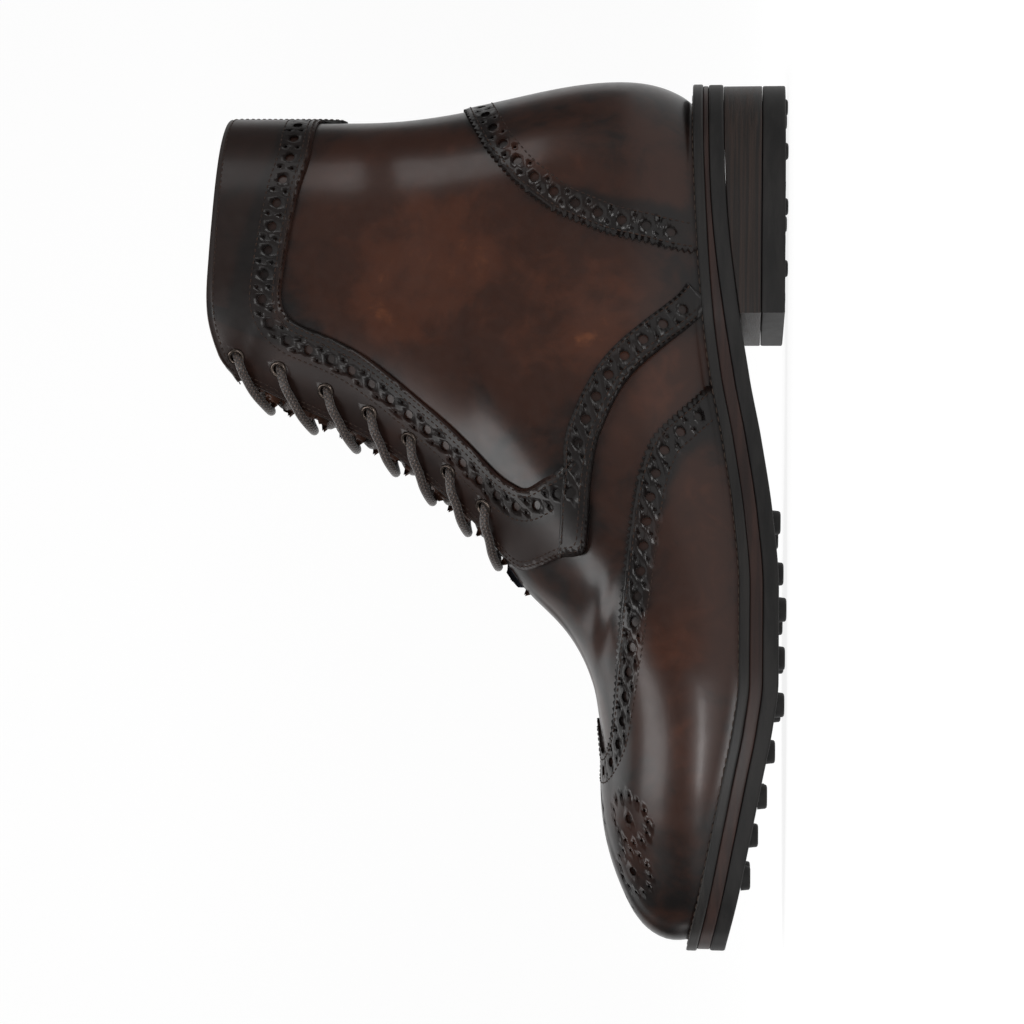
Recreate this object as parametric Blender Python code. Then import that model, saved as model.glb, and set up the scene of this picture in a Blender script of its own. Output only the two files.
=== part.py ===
"""A right wingtip brogue derby ankle boot, standing on its sole.

The last is worked out from a few sizes. Every point of the upper is found from two shares: how far round
from the front ridge to the back seam, and how far up from the welt to the collar. All leather pieces are
cut from that one surface, and all sole layers from its lower edge. Inside the last functions x points to
the medial side, u runs forward from the back of the sole, and z is up. Lengths are in metres.
"""

import math

import bmesh
import bpy
import numpy as np

# Sole sizes
SOLE_LENGTH = 0.308
HEEL_SEAT_HEIGHT = 0.0338
TOE_SPRING = 0.0175
WELT_THICKNESS = 0.0035
MIDSOLE_THICKNESS = 0.0042
MIDSOLE_HEEL_SHARE = 0.40
OUTSOLE_THICKNESS = 0.0050
STUD_HEIGHT = 0.0027
STUD_DIAMETER = 0.0088
STUD_SINK = 0.0020
STUD_TIP_SHARE = 0.88
TOP_LIFT_THICKNESS = 0.0080
TOP_LIFT_STUD_HEIGHT = 0.0010
TOP_LIFT_STUD_DIAMETER = 0.0062
HEEL_BREAST = 0.0890
WELT_MARGIN = 0.0040
WELT_UNDER_WALL = 0.0012
MIDSOLE_INSET = 0.0006
OUTSOLE_INSET = 0.0002
HEEL_INSET = 0.0008

# Last sizes
HEEL_WIDTH = 0.0580
BALL_WIDTH = 0.1020
COLLAR_WIDTH = 0.0510
COLLAR_RISE = 0.1675
FRONT_ROUNDING = 0.0400
SHAFT_ROUNDING = 0.0500
BACK_ROUNDING = 0.0360
FRONT_ROUNDING_POWER = 2.35
SHAFT_ROUNDING_POWER = 2.02
BACK_ROUNDING_POWER = 2.10
SHAFT_BEGINS = (0.35, 0.60)
FOOT_WIDTH_ENDS = (0.16, 0.60)

# Leather and clearances
UPPER_WALL = 0.0018
OVERLAY_THICKNESS = 0.0010
CLEARANCE = 0.0003
INSOLE_THICKNESS = 0.0040
INSOLE_MARGIN = 0.0016
TONGUE_THICKNESS = 0.0018
TONGUE_CLEARANCE = 0.0006
THROAT_GAP = 0.0195
TONGUE_HALF_SHARE = 0.300
TONGUE_SPAN = (0.500, 0.985)
FACING_TOP = 2 * (CLEARANCE + OVERLAY_THICKNESS)

# Eyelets and lace
EYELETS_A_SIDE = 7
EYELET_SPAN = (0.590, 0.972)
EYELET_FROM_EDGE = 0.0072
EYELET_OUTSIDE = 0.0062
EYELET_HOLE = 0.0034
EYELET_THICKNESS = 0.0009
EYELET_BEVEL = 0.3
LACE_DIAMETER = 0.0032
LACE_LIFT = 0.0004
LACE_DIP = 0.0026
LACE_RUN_SPREAD = 0.55

# Feather line, where the upper meets the welt: shares of the heel rise and of the toe spring
FEATHER_ROWS = (
    # station, heel share, toe share
    (0.00, 1.000, 0.00),
    (0.10, 0.955, 0.00),
    (0.20, 0.870, 0.00),
    (0.29, 0.745, 0.00),
    (0.36, 0.580, 0.00),
    (0.43, 0.345, 0.00),
    (0.52, 0.110, 0.00),
    (0.60, 0.000, 0.00),
    (0.70, 0.000, 0.00),
    (0.75, 0.000, 0.10),
    (0.81, 0.000, 0.30),
    (0.88, 0.000, 0.54),
    (0.94, 0.000, 0.75),
    (1.00, 0.000, 1.00),
)

# Half widths at the feather line before the ends are rounded
WIDTH_ROWS = (
    # station, share of heel width, medial share of ball width, lateral share of ball width
    (0.02, 0.500, 0.000, 0.000),
    (0.15, 0.510, 0.000, 0.005),
    (0.22, 0.500, 0.000, 0.015),
    (0.29, 0.470, 0.000, 0.030),
    (0.38, 0.280, 0.100, 0.175),
    (0.46, 0.100, 0.220, 0.355),
    (0.54, 0.000, 0.328, 0.524),
    (0.60, 0.000, 0.366, 0.584),
    (0.65, 0.000, 0.387, 0.600),
    (0.70, 0.000, 0.398, 0.582),
    (0.75, 0.000, 0.392, 0.540),
    (0.80, 0.000, 0.370, 0.491),
    (0.85, 0.000, 0.332, 0.432),
    (0.90, 0.000, 0.292, 0.376),
    (0.94, 0.000, 0.270, 0.350),
    (1.00, 0.000, 0.252, 0.330),
)

# How far the sides swell past the feather line, and at what height
SWELL_ROWS = (
    # station, height as a share of the collar rise, medial share of ball width, lateral share
    (0.00, 0.17, 0.030, 0.030),
    (0.20, 0.17, 0.030, 0.032),
    (0.40, 0.18, 0.065, 0.040),
    (0.52, 0.15, 0.045, 0.022),
    (0.65, 0.08, 0.016, 0.014),
    (0.85, 0.07, 0.014, 0.014),
    (1.00, 0.06, 0.010, 0.010),
)

# Ridge from the toe tip over the vamp and up the throat
RIDGE_ROWS = (
    # forward share of sole length, rise share of collar rise
    (0.9820, 0.000),
    (0.9835, 0.030),
    (0.9780, 0.066),
    (0.9640, 0.104),
    (0.9390, 0.143),
    (0.9000, 0.187),
    (0.8450, 0.229),
    (0.7730, 0.262),
    (0.7340, 0.284),
    (0.6850, 0.314),
    (0.6350, 0.372),
    (0.5850, 0.462),
    (0.5550, 0.497),
    (0.4980, 0.594),
    (0.4370, 0.725),
    (0.3850, 0.916),
    (0.3600, 1.000),
)

# Back seam from the heel seat to the collar
BACK_ROWS = (
    # forward share of sole length, rise share of collar rise
    (0.0345, 0.000),
    (0.0195, 0.045),
    (0.0095, 0.105),
    (0.0075, 0.170),
    (0.0105, 0.240),
    (0.0185, 0.325),
    (0.0305, 0.430),
    (0.0420, 0.550),
    (0.0470, 0.640),
    (0.0480, 0.800),
    (0.0465, 1.000),
)

# Collar edge above the straight line from front to back
COLLAR_ROWS = (
    # share of the way from front to back, rise share of collar rise
    (0.00, 0.000),
    (0.10, 0.036),
    (0.24, 0.048),
    (0.45, 0.036),
    (0.75, 0.014),
    (1.00, 0.000),
)

# Half width of the shaft
SHAFT_ROWS = (
    # share of the way up, share of collar width
    (0.00, 0.660),
    (0.30, 0.620),
    (0.40, 0.575),
    (0.55, 0.540),
    (0.70, 0.510),
    (0.85, 0.500),
    (1.00, 0.500),
)

# Seams as shares of the way round and of the way up; the wing seam's last row is under the welt
WING_ROWS = (
    # around, up
    (0.000, 0.330),
    (0.035, 0.302),
    (0.110, 0.258),
    (0.175, 0.224),
    (0.215, 0.212),
    (0.275, 0.219),
    (0.340, 0.231),
    (0.405, 0.211),
    (0.452, 0.192),
    (0.513, 0.142),
    (0.555, 0.076),
    (0.597, 0.000),
    (0.640, -0.078),
)

QUARTER_ROWS = (
    # around, up
    (0.000, 0.572),
    (0.060, 0.562),
    (0.137, 0.522),
    (0.188, 0.486),
    (0.243, 0.442),
    (0.313, 0.370),
    (0.355, 0.360),
    (0.397, 0.344),
    (0.460, 0.305),
    (0.492, 0.268),
    (0.553, 0.182),
    (0.603, 0.090),
    (0.652, 0.000),
)

COUNTER_ROWS = (
    # up, around
    (0.000, 0.708),
    (0.096, 0.693),
    (0.204, 0.685),
    (0.306, 0.690),
    (0.392, 0.718),
    (0.450, 0.775),
    (0.485, 0.880),
    (0.500, 1.000),
)

COLLAR_BAND_ROWS = (
    # around, up
    (0.30, 0.900),
    (0.38, 0.896),
    (0.52, 0.878),
    (0.64, 0.854),
    (0.77, 0.822),
    (1.00, 0.806),
)

EYESTAY_ROWS = (
    # up, around
    (0.36, 0.440),
    (0.42, 0.380),
    (0.46, 0.345),
    (0.51, 0.307),
    (0.57, 0.302),
    (0.67, 0.327),
    (0.79, 0.362),
    (0.90, 0.375),
    (1.00, 0.380),
)

# Margin of the welt past the feather line
MARGIN_ROWS = (
    # around, share of the welt margin
    (0.00, 1.37),
    (0.10, 1.15),
    (0.30, 1.00),
    (0.70, 1.10),
    (0.85, 1.75),
    (1.00, 2.62),
)

# Studs under the outsole and the top lift
OUTSOLE_STUDS = (
    # station, places across as shares from the lateral edge to the medial edge
    (0.520, (0.20, 0.80)),
    (0.570, (0.50,)),
    (0.620, (0.13, 0.87)),
    (0.670, (0.36, 0.64)),
    (0.725, (0.12, 0.88)),
    (0.775, (0.50,)),
    (0.825, (0.14, 0.86)),
    (0.870, (0.50,)),
    (0.915, (0.21, 0.79)),
)

TOP_LIFT_STUDS = (
    # station, places across
    (0.035, (0.30, 0.70)),
    (0.100, (0.13, 0.87)),
    (0.165, (0.12, 0.50, 0.88)),
    (0.235, (0.12, 0.88)),
)

# Mesh fineness of the curved leather
ROWS_UP = 15
COLUMNS_ROUND = 16
THROAT_COLUMN = 2
THROAT_ROW = 9
RIDGE_SAMPLES = 400
SOLE_STATIONS = 30
HEEL_STATIONS = 30
OUTLINE_SAMPLES = 161
WELT_SAMPLES = 65
EDGE_CHAMFER = 0.0005
END_TRIM = 0.00012
STUD_SIDES = 10
EYELET_SIDES = 10
LACE_SIDES = 6
LACE_POINTS = 7


def curve_through(rows, column, at):
    """A smooth curve through one column of a table, without overshoot."""
    table = np.array(rows, float)
    x, y = table[:, 0], table[:, column]
    at = np.clip(np.asarray(at, float), x[0], x[-1])
    gap = np.diff(x)
    slope = np.diff(y) / gap
    tangent = np.concatenate([slope[:1], np.zeros(len(x) - 2), slope[-1:]])
    before, after = slope[:-1], slope[1:]
    same_way = before * after > 0
    tangent[1:-1] = np.where(same_way, 2 * before * after / np.where(same_way, before + after, 1), 0)
    i = np.clip(np.searchsorted(x, at, side="right") - 1, 0, len(gap) - 1)
    s = (at - x[i]) / gap[i]
    rise = y[i] * (1 + 2 * s) * (1 - s) ** 2 + y[i + 1] * s * s * (3 - 2 * s)
    return rise + gap[i] * s * (1 - s) * (tangent[i] * (1 - s) - tangent[i + 1] * s)


def ease(value, low, high):
    """A smooth step from 0 at low to 1 at high."""
    s = np.clip((np.asarray(value, float) - low) / (high - low), 0, 1)
    return s * s * (3 - 2 * s)


def rounded(distance, reach, power):
    """Share of the full half width this far in from an edge that rounds over within the reach."""
    s = np.clip(distance / reach, 0, 1)
    return (1 - (1 - s) ** power) ** (1 / power)


BALL_SEAT_HEIGHT = STUD_HEIGHT + OUTSOLE_THICKNESS + MIDSOLE_THICKNESS + WELT_THICKNESS + 2 * CLEARANCE


def feather_height(forward):
    """Height of the welt's top face."""
    station = np.asarray(forward, float) / SOLE_LENGTH
    heel = (HEEL_SEAT_HEIGHT - BALL_SEAT_HEIGHT) * curve_through(FEATHER_ROWS, 1, station)
    toe = TOE_SPRING * curve_through(FEATHER_ROWS, 2, station)
    return BALL_SEAT_HEIGHT + CLEARANCE + heel + toe


def profile(rows, samples):
    """Points (forward, up) along a ridge or seam, evenly spaced, with a smooth curve through its rows."""
    table = np.array(rows, float)
    points = np.column_stack([table[:, 0] * SOLE_LENGTH, table[:, 1] * COLLAR_RISE])
    along = np.concatenate([[0], np.cumsum(np.linalg.norm(np.diff(points, axis=0), axis=1))])
    fine = np.linspace(0, along[-1], 8 * samples)
    smooth = [spline(along, points[:, k], fine) for k in (0, 1)]
    smooth = np.column_stack([smooth[0], feather_height(smooth[0]) + smooth[1]])
    length = np.concatenate([[0], np.cumsum(np.linalg.norm(np.diff(smooth, axis=0), axis=1))])
    even = np.linspace(0, length[-1], samples)
    return np.column_stack([np.interp(even, length, smooth[:, k]) for k in (0, 1)])


def spline(x, y, at):
    """A natural cubic spline, for outlines whose bends stay round between few rows."""
    n = len(x)
    gap = np.diff(x)
    system = np.eye(n)
    right = np.zeros(n)
    for i in range(1, n - 1):
        system[i, i - 1 : i + 2] = gap[i - 1], 2 * (gap[i - 1] + gap[i]), gap[i]
        right[i] = 6 * ((y[i + 1] - y[i]) / gap[i] - (y[i] - y[i - 1]) / gap[i - 1])
    bend = np.linalg.solve(system, right)
    i = np.clip(np.searchsorted(x, at, side="right") - 1, 0, n - 2)
    left, rest = at - x[i], x[i + 1] - at
    near = bend[i] * rest**3 / (6 * gap[i]) + bend[i + 1] * left**3 / (6 * gap[i])
    far = (y[i] / gap[i] - bend[i] * gap[i] / 6) * rest + (y[i + 1] / gap[i] - bend[i + 1] * gap[i] / 6) * left
    return near + far


RIDGE = profile(RIDGE_ROWS, RIDGE_SAMPLES)
BACK = profile(BACK_ROWS, RIDGE_SAMPLES)
SHARES = np.linspace(0, 1, RIDGE_SAMPLES)


def on_profile(line, share):
    return np.stack([np.interp(share, SHARES, line[:, k]) for k in (0, 1)], axis=-1)


def side_point(around, up):
    """Side view position (forward, up) of the surface at two shares, 0 to 1 each."""
    around, up = np.broadcast_arrays(np.abs(np.asarray(around, float)), np.asarray(up, float))
    across = ((1 - np.cos(math.pi * around)) / 2)[..., None]
    up = up[..., None]
    low = on_profile(RIDGE, 0.0) * (1 - across) + on_profile(BACK, 0.0) * across
    high = on_profile(RIDGE, 1.0) * (1 - across) + on_profile(BACK, 1.0) * across
    feather_sag = feather_height(low[..., 0]) - low[..., 1]
    collar_bow = COLLAR_RISE * curve_through(COLLAR_ROWS, 1, across[..., 0])
    point = on_profile(RIDGE, up[..., 0]) * (1 - across) + on_profile(BACK, up[..., 0]) * across
    lift = feather_sag * (1 - up[..., 0]) ** 2 + collar_bow * up[..., 0] ** 4
    return point + np.stack([0 * lift, lift], axis=-1)


def ridge_distance(point):
    """Distance in side view to the ridge, smoothed where two stretches of it are equally near."""
    flat = point.reshape(-1, 2)
    step = np.linalg.norm(RIDGE[1] - RIDGE[0])
    power = 5.0
    straight = math.sqrt(math.pi) * math.gamma((power - 1) / 2) / math.gamma(power / 2)
    found = np.empty(len(flat))
    for start in range(0, len(flat), 4000):
        part = flat[start : start + 4000]
        gap = np.hypot(part[:, None, 0] - RIDGE[None, :, 0], part[:, None, 1] - RIDGE[None, :, 1])
        least = gap.min(axis=1)
        soft = ((np.maximum(gap, 1e-6) ** -power).sum(axis=1) * step / straight) ** (1 / (1 - power))
        share = ease(least, 3 * step, 9 * step)
        found[start : start + 4000] = least * (1 - share) + np.minimum(soft, 1.2 * least) * share
    return found.reshape(point.shape[:-1])


def half_width(around, up, medial):
    """Distance of the surface from the middle plane."""
    point = side_point(around, up)
    forward, height = point[..., 0], point[..., 1]
    station = forward / SOLE_LENGTH
    rise = (height - feather_height(forward)) / COLLAR_RISE
    side = 2 if medial else 3
    low = HEEL_WIDTH * curve_through(WIDTH_ROWS, 1, station) + BALL_WIDTH * curve_through(WIDTH_ROWS, side, station)
    high = COLLAR_WIDTH * curve_through(SHAFT_ROWS, 1, up)
    full = low + (high - low) * ease(rise, *FOOT_WIDTH_ENDS)
    swell_at = curve_through(SWELL_ROWS, 1, station)
    swell = BALL_WIDTH * curve_through(SWELL_ROWS, side, station)
    share = np.maximum(rise, 0) / swell_at
    full = full + swell * share * np.exp(1 - share)
    shaft = ease(up, *SHAFT_BEGINS)
    reach = FRONT_ROUNDING + (SHAFT_ROUNDING - FRONT_ROUNDING) * shaft
    power = FRONT_ROUNDING_POWER + (SHAFT_ROUNDING_POWER - FRONT_ROUNDING_POWER) * shaft
    back = forward - np.interp(np.broadcast_to(up, forward.shape), SHARES, BACK[:, 0])
    front = ridge_distance(point)
    heel = rounded(np.maximum(back, 0), BACK_ROUNDING, BACK_ROUNDING_POWER)
    return full * rounded(front, reach, power) * heel


def skin(around, up):
    """Point (x, u, z) of the upper's face; around runs from -1 to 1, negative on the lateral side."""
    around, up = np.broadcast_arrays(np.asarray(around, float), np.asarray(up, float))
    side = side_point(around, up)
    medial = half_width(around, up, True)
    lateral = half_width(around, up, False)
    x = np.where(around >= 0, medial, -lateral)
    x = np.where((np.abs(around) < 1e-9) | (np.abs(around) > 1 - 1e-9), 0.0, x)
    return np.concatenate([x[..., None], side], axis=-1)


def skin_normal(around, up):
    """Outward unit normal of the upper's face."""
    around, up = np.broadcast_arrays(np.asarray(around, float), np.asarray(up, float))
    step = 0.012
    higher, lower = np.minimum(up + step, 1), np.maximum(up - step, 0)
    along_up = skin(around, higher) - skin(around, lower)
    wrapped = np.where(around + step > 1, around + step - 2, around + step)
    wrapped_back = np.where(around - step < -1, around - step + 2, around - step)
    along_round = skin(wrapped, up) - skin(wrapped_back, up)
    normal = np.cross(along_up, along_round)
    normal = normal / np.linalg.norm(normal, axis=-1, keepdims=True)
    flat = np.array([1.0, 1.0, 0.0])
    at_feather = np.clip(1 - up / 0.04, 0, 1)[..., None]
    level = normal * flat
    level = level / np.linalg.norm(level, axis=-1, keepdims=True)
    mixed = normal * (1 - at_feather) + level * at_feather
    return mixed / np.linalg.norm(mixed, axis=-1, keepdims=True)


def offset_skin(around, up, offset):
    return skin(around, up) + offset * skin_normal(around, up)


def wing_level(around, up):
    return up - curve_through(WING_ROWS, 1, np.abs(around))


def quarter_level(around, up):
    return curve_through(QUARTER_ROWS, 1, np.abs(around)) - up


def counter_level(around, up):
    return np.maximum(curve_through(COUNTER_ROWS, 1, up) - np.abs(around), up - COUNTER_ROWS[-1][0])


def facing_level(around, up):
    collar = curve_through(COLLAR_BAND_ROWS, 1, np.abs(around)) - up
    eyestay = np.abs(around) - curve_through(EYESTAY_ROWS, 1, up)
    return np.maximum(np.minimum(collar, eyestay), quarter_level(around, up))


def slit_level(around, up):
    """Above zero between the two facings and their tabs, at any height."""
    half = np.abs(skin(around, up)[..., 0])
    return np.minimum((THROAT_GAP / 2 - half) / (BALL_WIDTH / 2), 0.5 - np.abs(around))


def throat_level(around, up):
    """Above zero in the slit of the upper, which ends above the tabs' lower edge."""
    return np.minimum(slit_level(around, up), up - THROAT_ROW / ROWS_UP)


def tongue_level(around, up):
    low, high = TONGUE_SPAN
    return np.maximum(np.abs(around) - TONGUE_HALF_SHARE, np.maximum(low - up, up - high))


# Objects of the boot


def clear_scene():
    for item in list(bpy.data.objects):
        bpy.data.objects.remove(item, do_unlink=True)


def material(name, colour, roughness, metallic=0.0):
    made = bpy.data.materials.new(name)
    made.use_nodes = True
    shader = made.node_tree.nodes["Principled BSDF"]
    shader.inputs["Base Color"].default_value = (*colour, 1)
    shader.inputs["Roughness"].default_value = roughness
    shader.inputs["Metallic"].default_value = metallic
    made.diffuse_color = (*colour, 1)
    return made


def frame_origin():
    """Middle of the sole's outline, so that the boot stands over the origin."""
    outline = np.array(sole_outline(0.0, 241))
    return np.append((outline.min(axis=0) + outline.max(axis=0)) / 2, 0.0)


def placed(points):
    """Last coordinates turned into the boot's frame: x medial, y backward, z up."""
    moved = np.atleast_2d(points) - ORIGIN
    return moved * np.array([1.0, -1.0, 1.0])


def add_mesh(name, points, faces, surface, smooth_angle=35):
    """One object from points in last coordinates; its faces are given outward in that mirrored frame."""
    mesh = bpy.data.meshes.new(name)
    mesh.from_pydata([tuple(p) for p in placed(points)], [], [tuple(f[::-1]) for f in faces])
    mesh.validate()
    mesh.materials.append(surface)
    mesh.shade_smooth()
    mesh.set_sharp_from_angle(angle=math.radians(smooth_angle))
    made = bpy.data.objects.new(name, mesh)
    bpy.context.scene.collection.objects.link(made)
    return made


def around_at(half, up, side):
    """Share round, on one side, where the skin is this far from the middle plane."""
    low, high = 0.0, 0.5
    for _ in range(30):
        middle = (low + high) / 2
        if abs(float(skin(side * middle, up)[0])) < half:
            low = middle
        else:
            high = middle
    return side * (low + high) / 2


def chart_grid():
    """Shared grid of the leather: shares and triangles, joined at the back seam.

    One column on each side is bent to run along the edge of the throat.
    """
    around = np.linspace(-1, 1, 2 * COLUMNS_ROUND + 1)[:-1]
    up = np.linspace(0, 1, ROWS_UP + 1)
    across, rows = np.meshgrid(around, up)
    share = np.abs(across)
    edge = THROAT_COLUMN / COLUMNS_ROUND
    pull = np.minimum(share / edge, (1 - share) / (1 - edge))
    for i, height in enumerate(up):
        for side in (-1, 1):
            wanted = abs(around_at(THROAT_GAP / 2, height, side))
            half = across[i] * side > 0
            across[i] = np.where(half, across[i] + side * (wanted - edge) * pull[i], across[i])
    count = len(around)
    faces = []
    for i in range(ROWS_UP):
        for j in range(count):
            a, b = i * count + j, i * count + (j + 1) % count
            c, d = b + count, a + count
            medial = j >= COLUMNS_ROUND
            faces += [(c, b, a), (d, c, a)] if medial else [(d, b, a), (d, c, b)]
    return across.ravel(), rows.ravel(), faces


def leather(name, level, outer, inner, surface):
    """A leather piece between two offsets of the shared grid, cut where the level crosses zero."""
    across, rows, faces = GRID
    values = np.array(level(across, rows), float)
    base, normals = GRID_POINTS, GRID_NORMALS
    snap_near_crossings(values, faces)
    vertices, crossings, kept = [], {}, []

    def new_vertex(point, normal):
        vertices.append((point, normal))
        return len(vertices) - 1

    def crossing(i, j):
        key = ("edge", min(i, j), max(i, j))
        if key not in crossings:
            share = values[i] / (values[i] - values[j])
            point = base[i] + share * (base[j] - base[i])
            crossings[key] = new_vertex(point, normals[i] + share * (normals[j] - normals[i]))
        return crossings[key]

    for face in faces:
        if values[list(face)].min() >= 0:
            continue
        ring = []
        for i, j in zip(face, face[1:] + face[:1]):
            if values[i] <= 0:
                key = ("corner", i)
                if key not in crossings:
                    crossings[key] = new_vertex(base[i], normals[i])
                ring.append(crossings[key])
            if values[i] * values[j] < 0:
                ring.append(crossing(i, j))
        kept += [(ring[0], ring[k], ring[k + 1]) for k in range(1, len(ring) - 1)]
    return close_sheet(name, vertices, largest_patch(kept), outer, inner, surface)


def largest_patch(faces):
    """The biggest set of triangles joined by edges; slips that touch only at a corner are dropped."""
    patch_of = list(range(len(faces)))

    def root(i):
        while patch_of[i] != i:
            i = patch_of[i]
        return i

    seen = {}
    for index, (a, b, c) in enumerate(faces):
        for edge in ((a, b), (b, c), (c, a)):
            key = tuple(sorted(edge))
            if key in seen:
                patch_of[root(index)] = root(seen[key])
            seen[key] = index
    roots = [root(i) for i in range(len(faces))]
    largest = max(set(roots), key=roots.count)
    return [face for face, at in zip(faces, roots) if at == largest]


def snap_near_crossings(values, faces, share=0.12):
    """Moves the cut onto a corner where it passes close by, so that no thin triangle is left."""
    for face in faces:
        for i, j in zip(face, face[1:] + face[:1]):
            if values[i] * values[j] < 0:
                near = i if abs(values[i]) < abs(values[j]) else j
                if abs(values[near]) < share * abs(values[i] - values[j]):
                    values[near] = 0.0


def close_sheet(name, vertices, kept, outer, inner, surface):
    count = len(vertices)
    points = [p + outer * n for p, n in vertices] + [p + inner * n for p, n in vertices]
    faces = list(kept) + [(c + count, b + count, a + count) for a, b, c in kept]
    directed = {edge for a, b, c in kept for edge in ((a, b), (b, c), (c, a))}
    for a, b in directed:
        if (b, a) not in directed:
            faces.append((b, a, a + count, b + count))
    return add_mesh(name, np.array(points), faces, surface)


def sole_outline(grow, samples):
    """Closed outline (x, u) of the sole in plan, from the heel round the lateral side and back."""
    around = np.linspace(-1, 1, samples)[:-1]
    line = skin(around, 0.0)[:, :2]
    return [tuple(p) for p in line + plan_normals(line) * (welt_margin(around) + grow)[:, None]]


def welt_margin(around):
    return WELT_MARGIN * curve_through(MARGIN_ROWS, 1, np.abs(around))


def plan_normals(line):
    along = np.roll(line, -1, axis=0) - np.roll(line, 1, axis=0)
    normal = np.column_stack([-along[:, 1], along[:, 0]])
    normal = normal / np.linalg.norm(normal, axis=1, keepdims=True)
    outward = np.sign((normal * (line - line.mean(axis=0))).sum(axis=1).mean())
    return normal * outward


def inner_outline(inset, samples):
    """The feather line drawn in by an inset."""
    line = skin(np.linspace(-1, 1, samples)[:-1], 0.0)[:, :2]
    return [tuple(p) for p in line - plan_normals(line) * inset]


def edges_at(outline, forward):
    """Lateral and medial x of an outline at stations along it."""
    line = np.array(outline)
    back, front = line[:, 1].argmin(), line[:, 1].argmax()
    rolled = np.roll(line, -back, axis=0)
    split = (front - back) % len(line)
    one, other = rolled[: split + 1], np.vstack([rolled[split:], rolled[:1]])[::-1]
    widths = [np.interp(forward, side[:, 1], side[:, 0]) for side in (one, other)]
    return np.minimum(*widths), np.maximum(*widths)


def slab(name, outline, top, bottom, surface, stations=SOLE_STATIONS, end=None):
    """A sole layer: cross sections from back to front with chamfered lower and upper edges."""
    line = np.array(outline)
    chamfer = EDGE_CHAMFER
    first, last = line[:, 1].min() + END_TRIM, line[:, 1].max() - END_TRIM
    turn = np.linspace(0, math.pi, stations)
    forward = first + (last - first) * (1 - np.cos(turn)) / 2
    if end is not None:
        turn = np.linspace(0, math.pi / 2, stations // 2)
        forward = first + (end - first) * (1 - np.cos(turn))
    left, right = edges_at(outline, forward)
    points, faces = [], []
    for u, a, b in zip(forward, left, right):
        high, low = float(top(u)), float(bottom(u))
        cut = min(chamfer, (b - a) / 4)
        points += [
            (a + cut, u, low),
            (b - cut, u, low),
            (b, u, low + chamfer),
            (b, u, high - chamfer),
            (b - cut, u, high),
            (a + cut, u, high),
            (a, u, high - chamfer),
            (a, u, low + chamfer),
        ]
    for i in range(len(forward) - 1):
        near, far = 8 * i, 8 * (i + 1)
        for k in range(8):
            n = (k + 1) % 8
            faces.append((near + k, far + k, far + n, near + n))
    faces += [tuple(range(8)), tuple(range(8 * len(forward) - 1, 8 * len(forward) - 9, -1))]
    return add_mesh(name, np.array(points), faces, surface)


def ring(name, outside, inside, top, bottom, surface):
    """A flat strip between two outlines, following the sole's curve."""
    points, faces = [], []
    count = len(outside)
    for (x0, u0), (x1, u1) in zip(outside, inside):
        points += [
            (x0, u0, float(bottom(u0))),
            (x0, u0, float(top(u0))),
            (x1, u1, float(top(u1))),
            (x1, u1, float(bottom(u1))),
        ]
    for i in range(count):
        near, far = 4 * i, 4 * ((i + 1) % count)
        for k in range(4):
            n = (k + 1) % 4
            faces.append((near + k, near + n, far + n, far + k))
    return add_mesh(name, np.array(points), faces, surface)


def welt_top(forward):
    return feather_height(forward) - CLEARANCE


def midsole_top(forward):
    return welt_top(forward) - WELT_THICKNESS - CLEARANCE


def midsole_bottom(forward):
    share = ease(forward, 0.15 * SOLE_LENGTH, 0.36 * SOLE_LENGTH)
    return midsole_top(forward) - MIDSOLE_THICKNESS * (MIDSOLE_HEEL_SHARE + (1 - MIDSOLE_HEEL_SHARE) * share)


def outsole_top(forward):
    return midsole_bottom(forward) - CLEARANCE


def outsole_bottom(forward):
    return outsole_top(forward) - OUTSOLE_THICKNESS


def stud(forward, x, diameter, top, low):
    """A round stud whose top is sunk into its layer."""
    mesh = bmesh.new()
    depth = top - low
    bmesh.ops.create_cone(
        mesh,
        cap_ends=True,
        segments=STUD_SIDES,
        radius1=STUD_TIP_SHARE * diameter / 2,
        radius2=diameter / 2,
        depth=depth,
    )
    spot = placed(np.array([[x, forward, low + depth / 2]]))[0]
    bmesh.ops.translate(mesh, verts=mesh.verts, vec=spot)
    data = bpy.data.meshes.new("stud")
    mesh.to_mesh(data)
    mesh.free()
    made = bpy.data.objects.new("stud", data)
    bpy.context.scene.collection.objects.link(made)
    made.hide_render = True
    made.display_type = "WIRE"
    return made


def joined(body, others):
    for other in others:
        union = body.modifiers.new("join", "BOOLEAN")
        union.operation = "UNION"
        union.object = other


def stud_places(rows, outline):
    for station, places in rows:
        forward = station * SOLE_LENGTH
        left, right = edges_at(outline, forward)
        for share in places:
            yield forward, float(left + share * (right - left))


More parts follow.
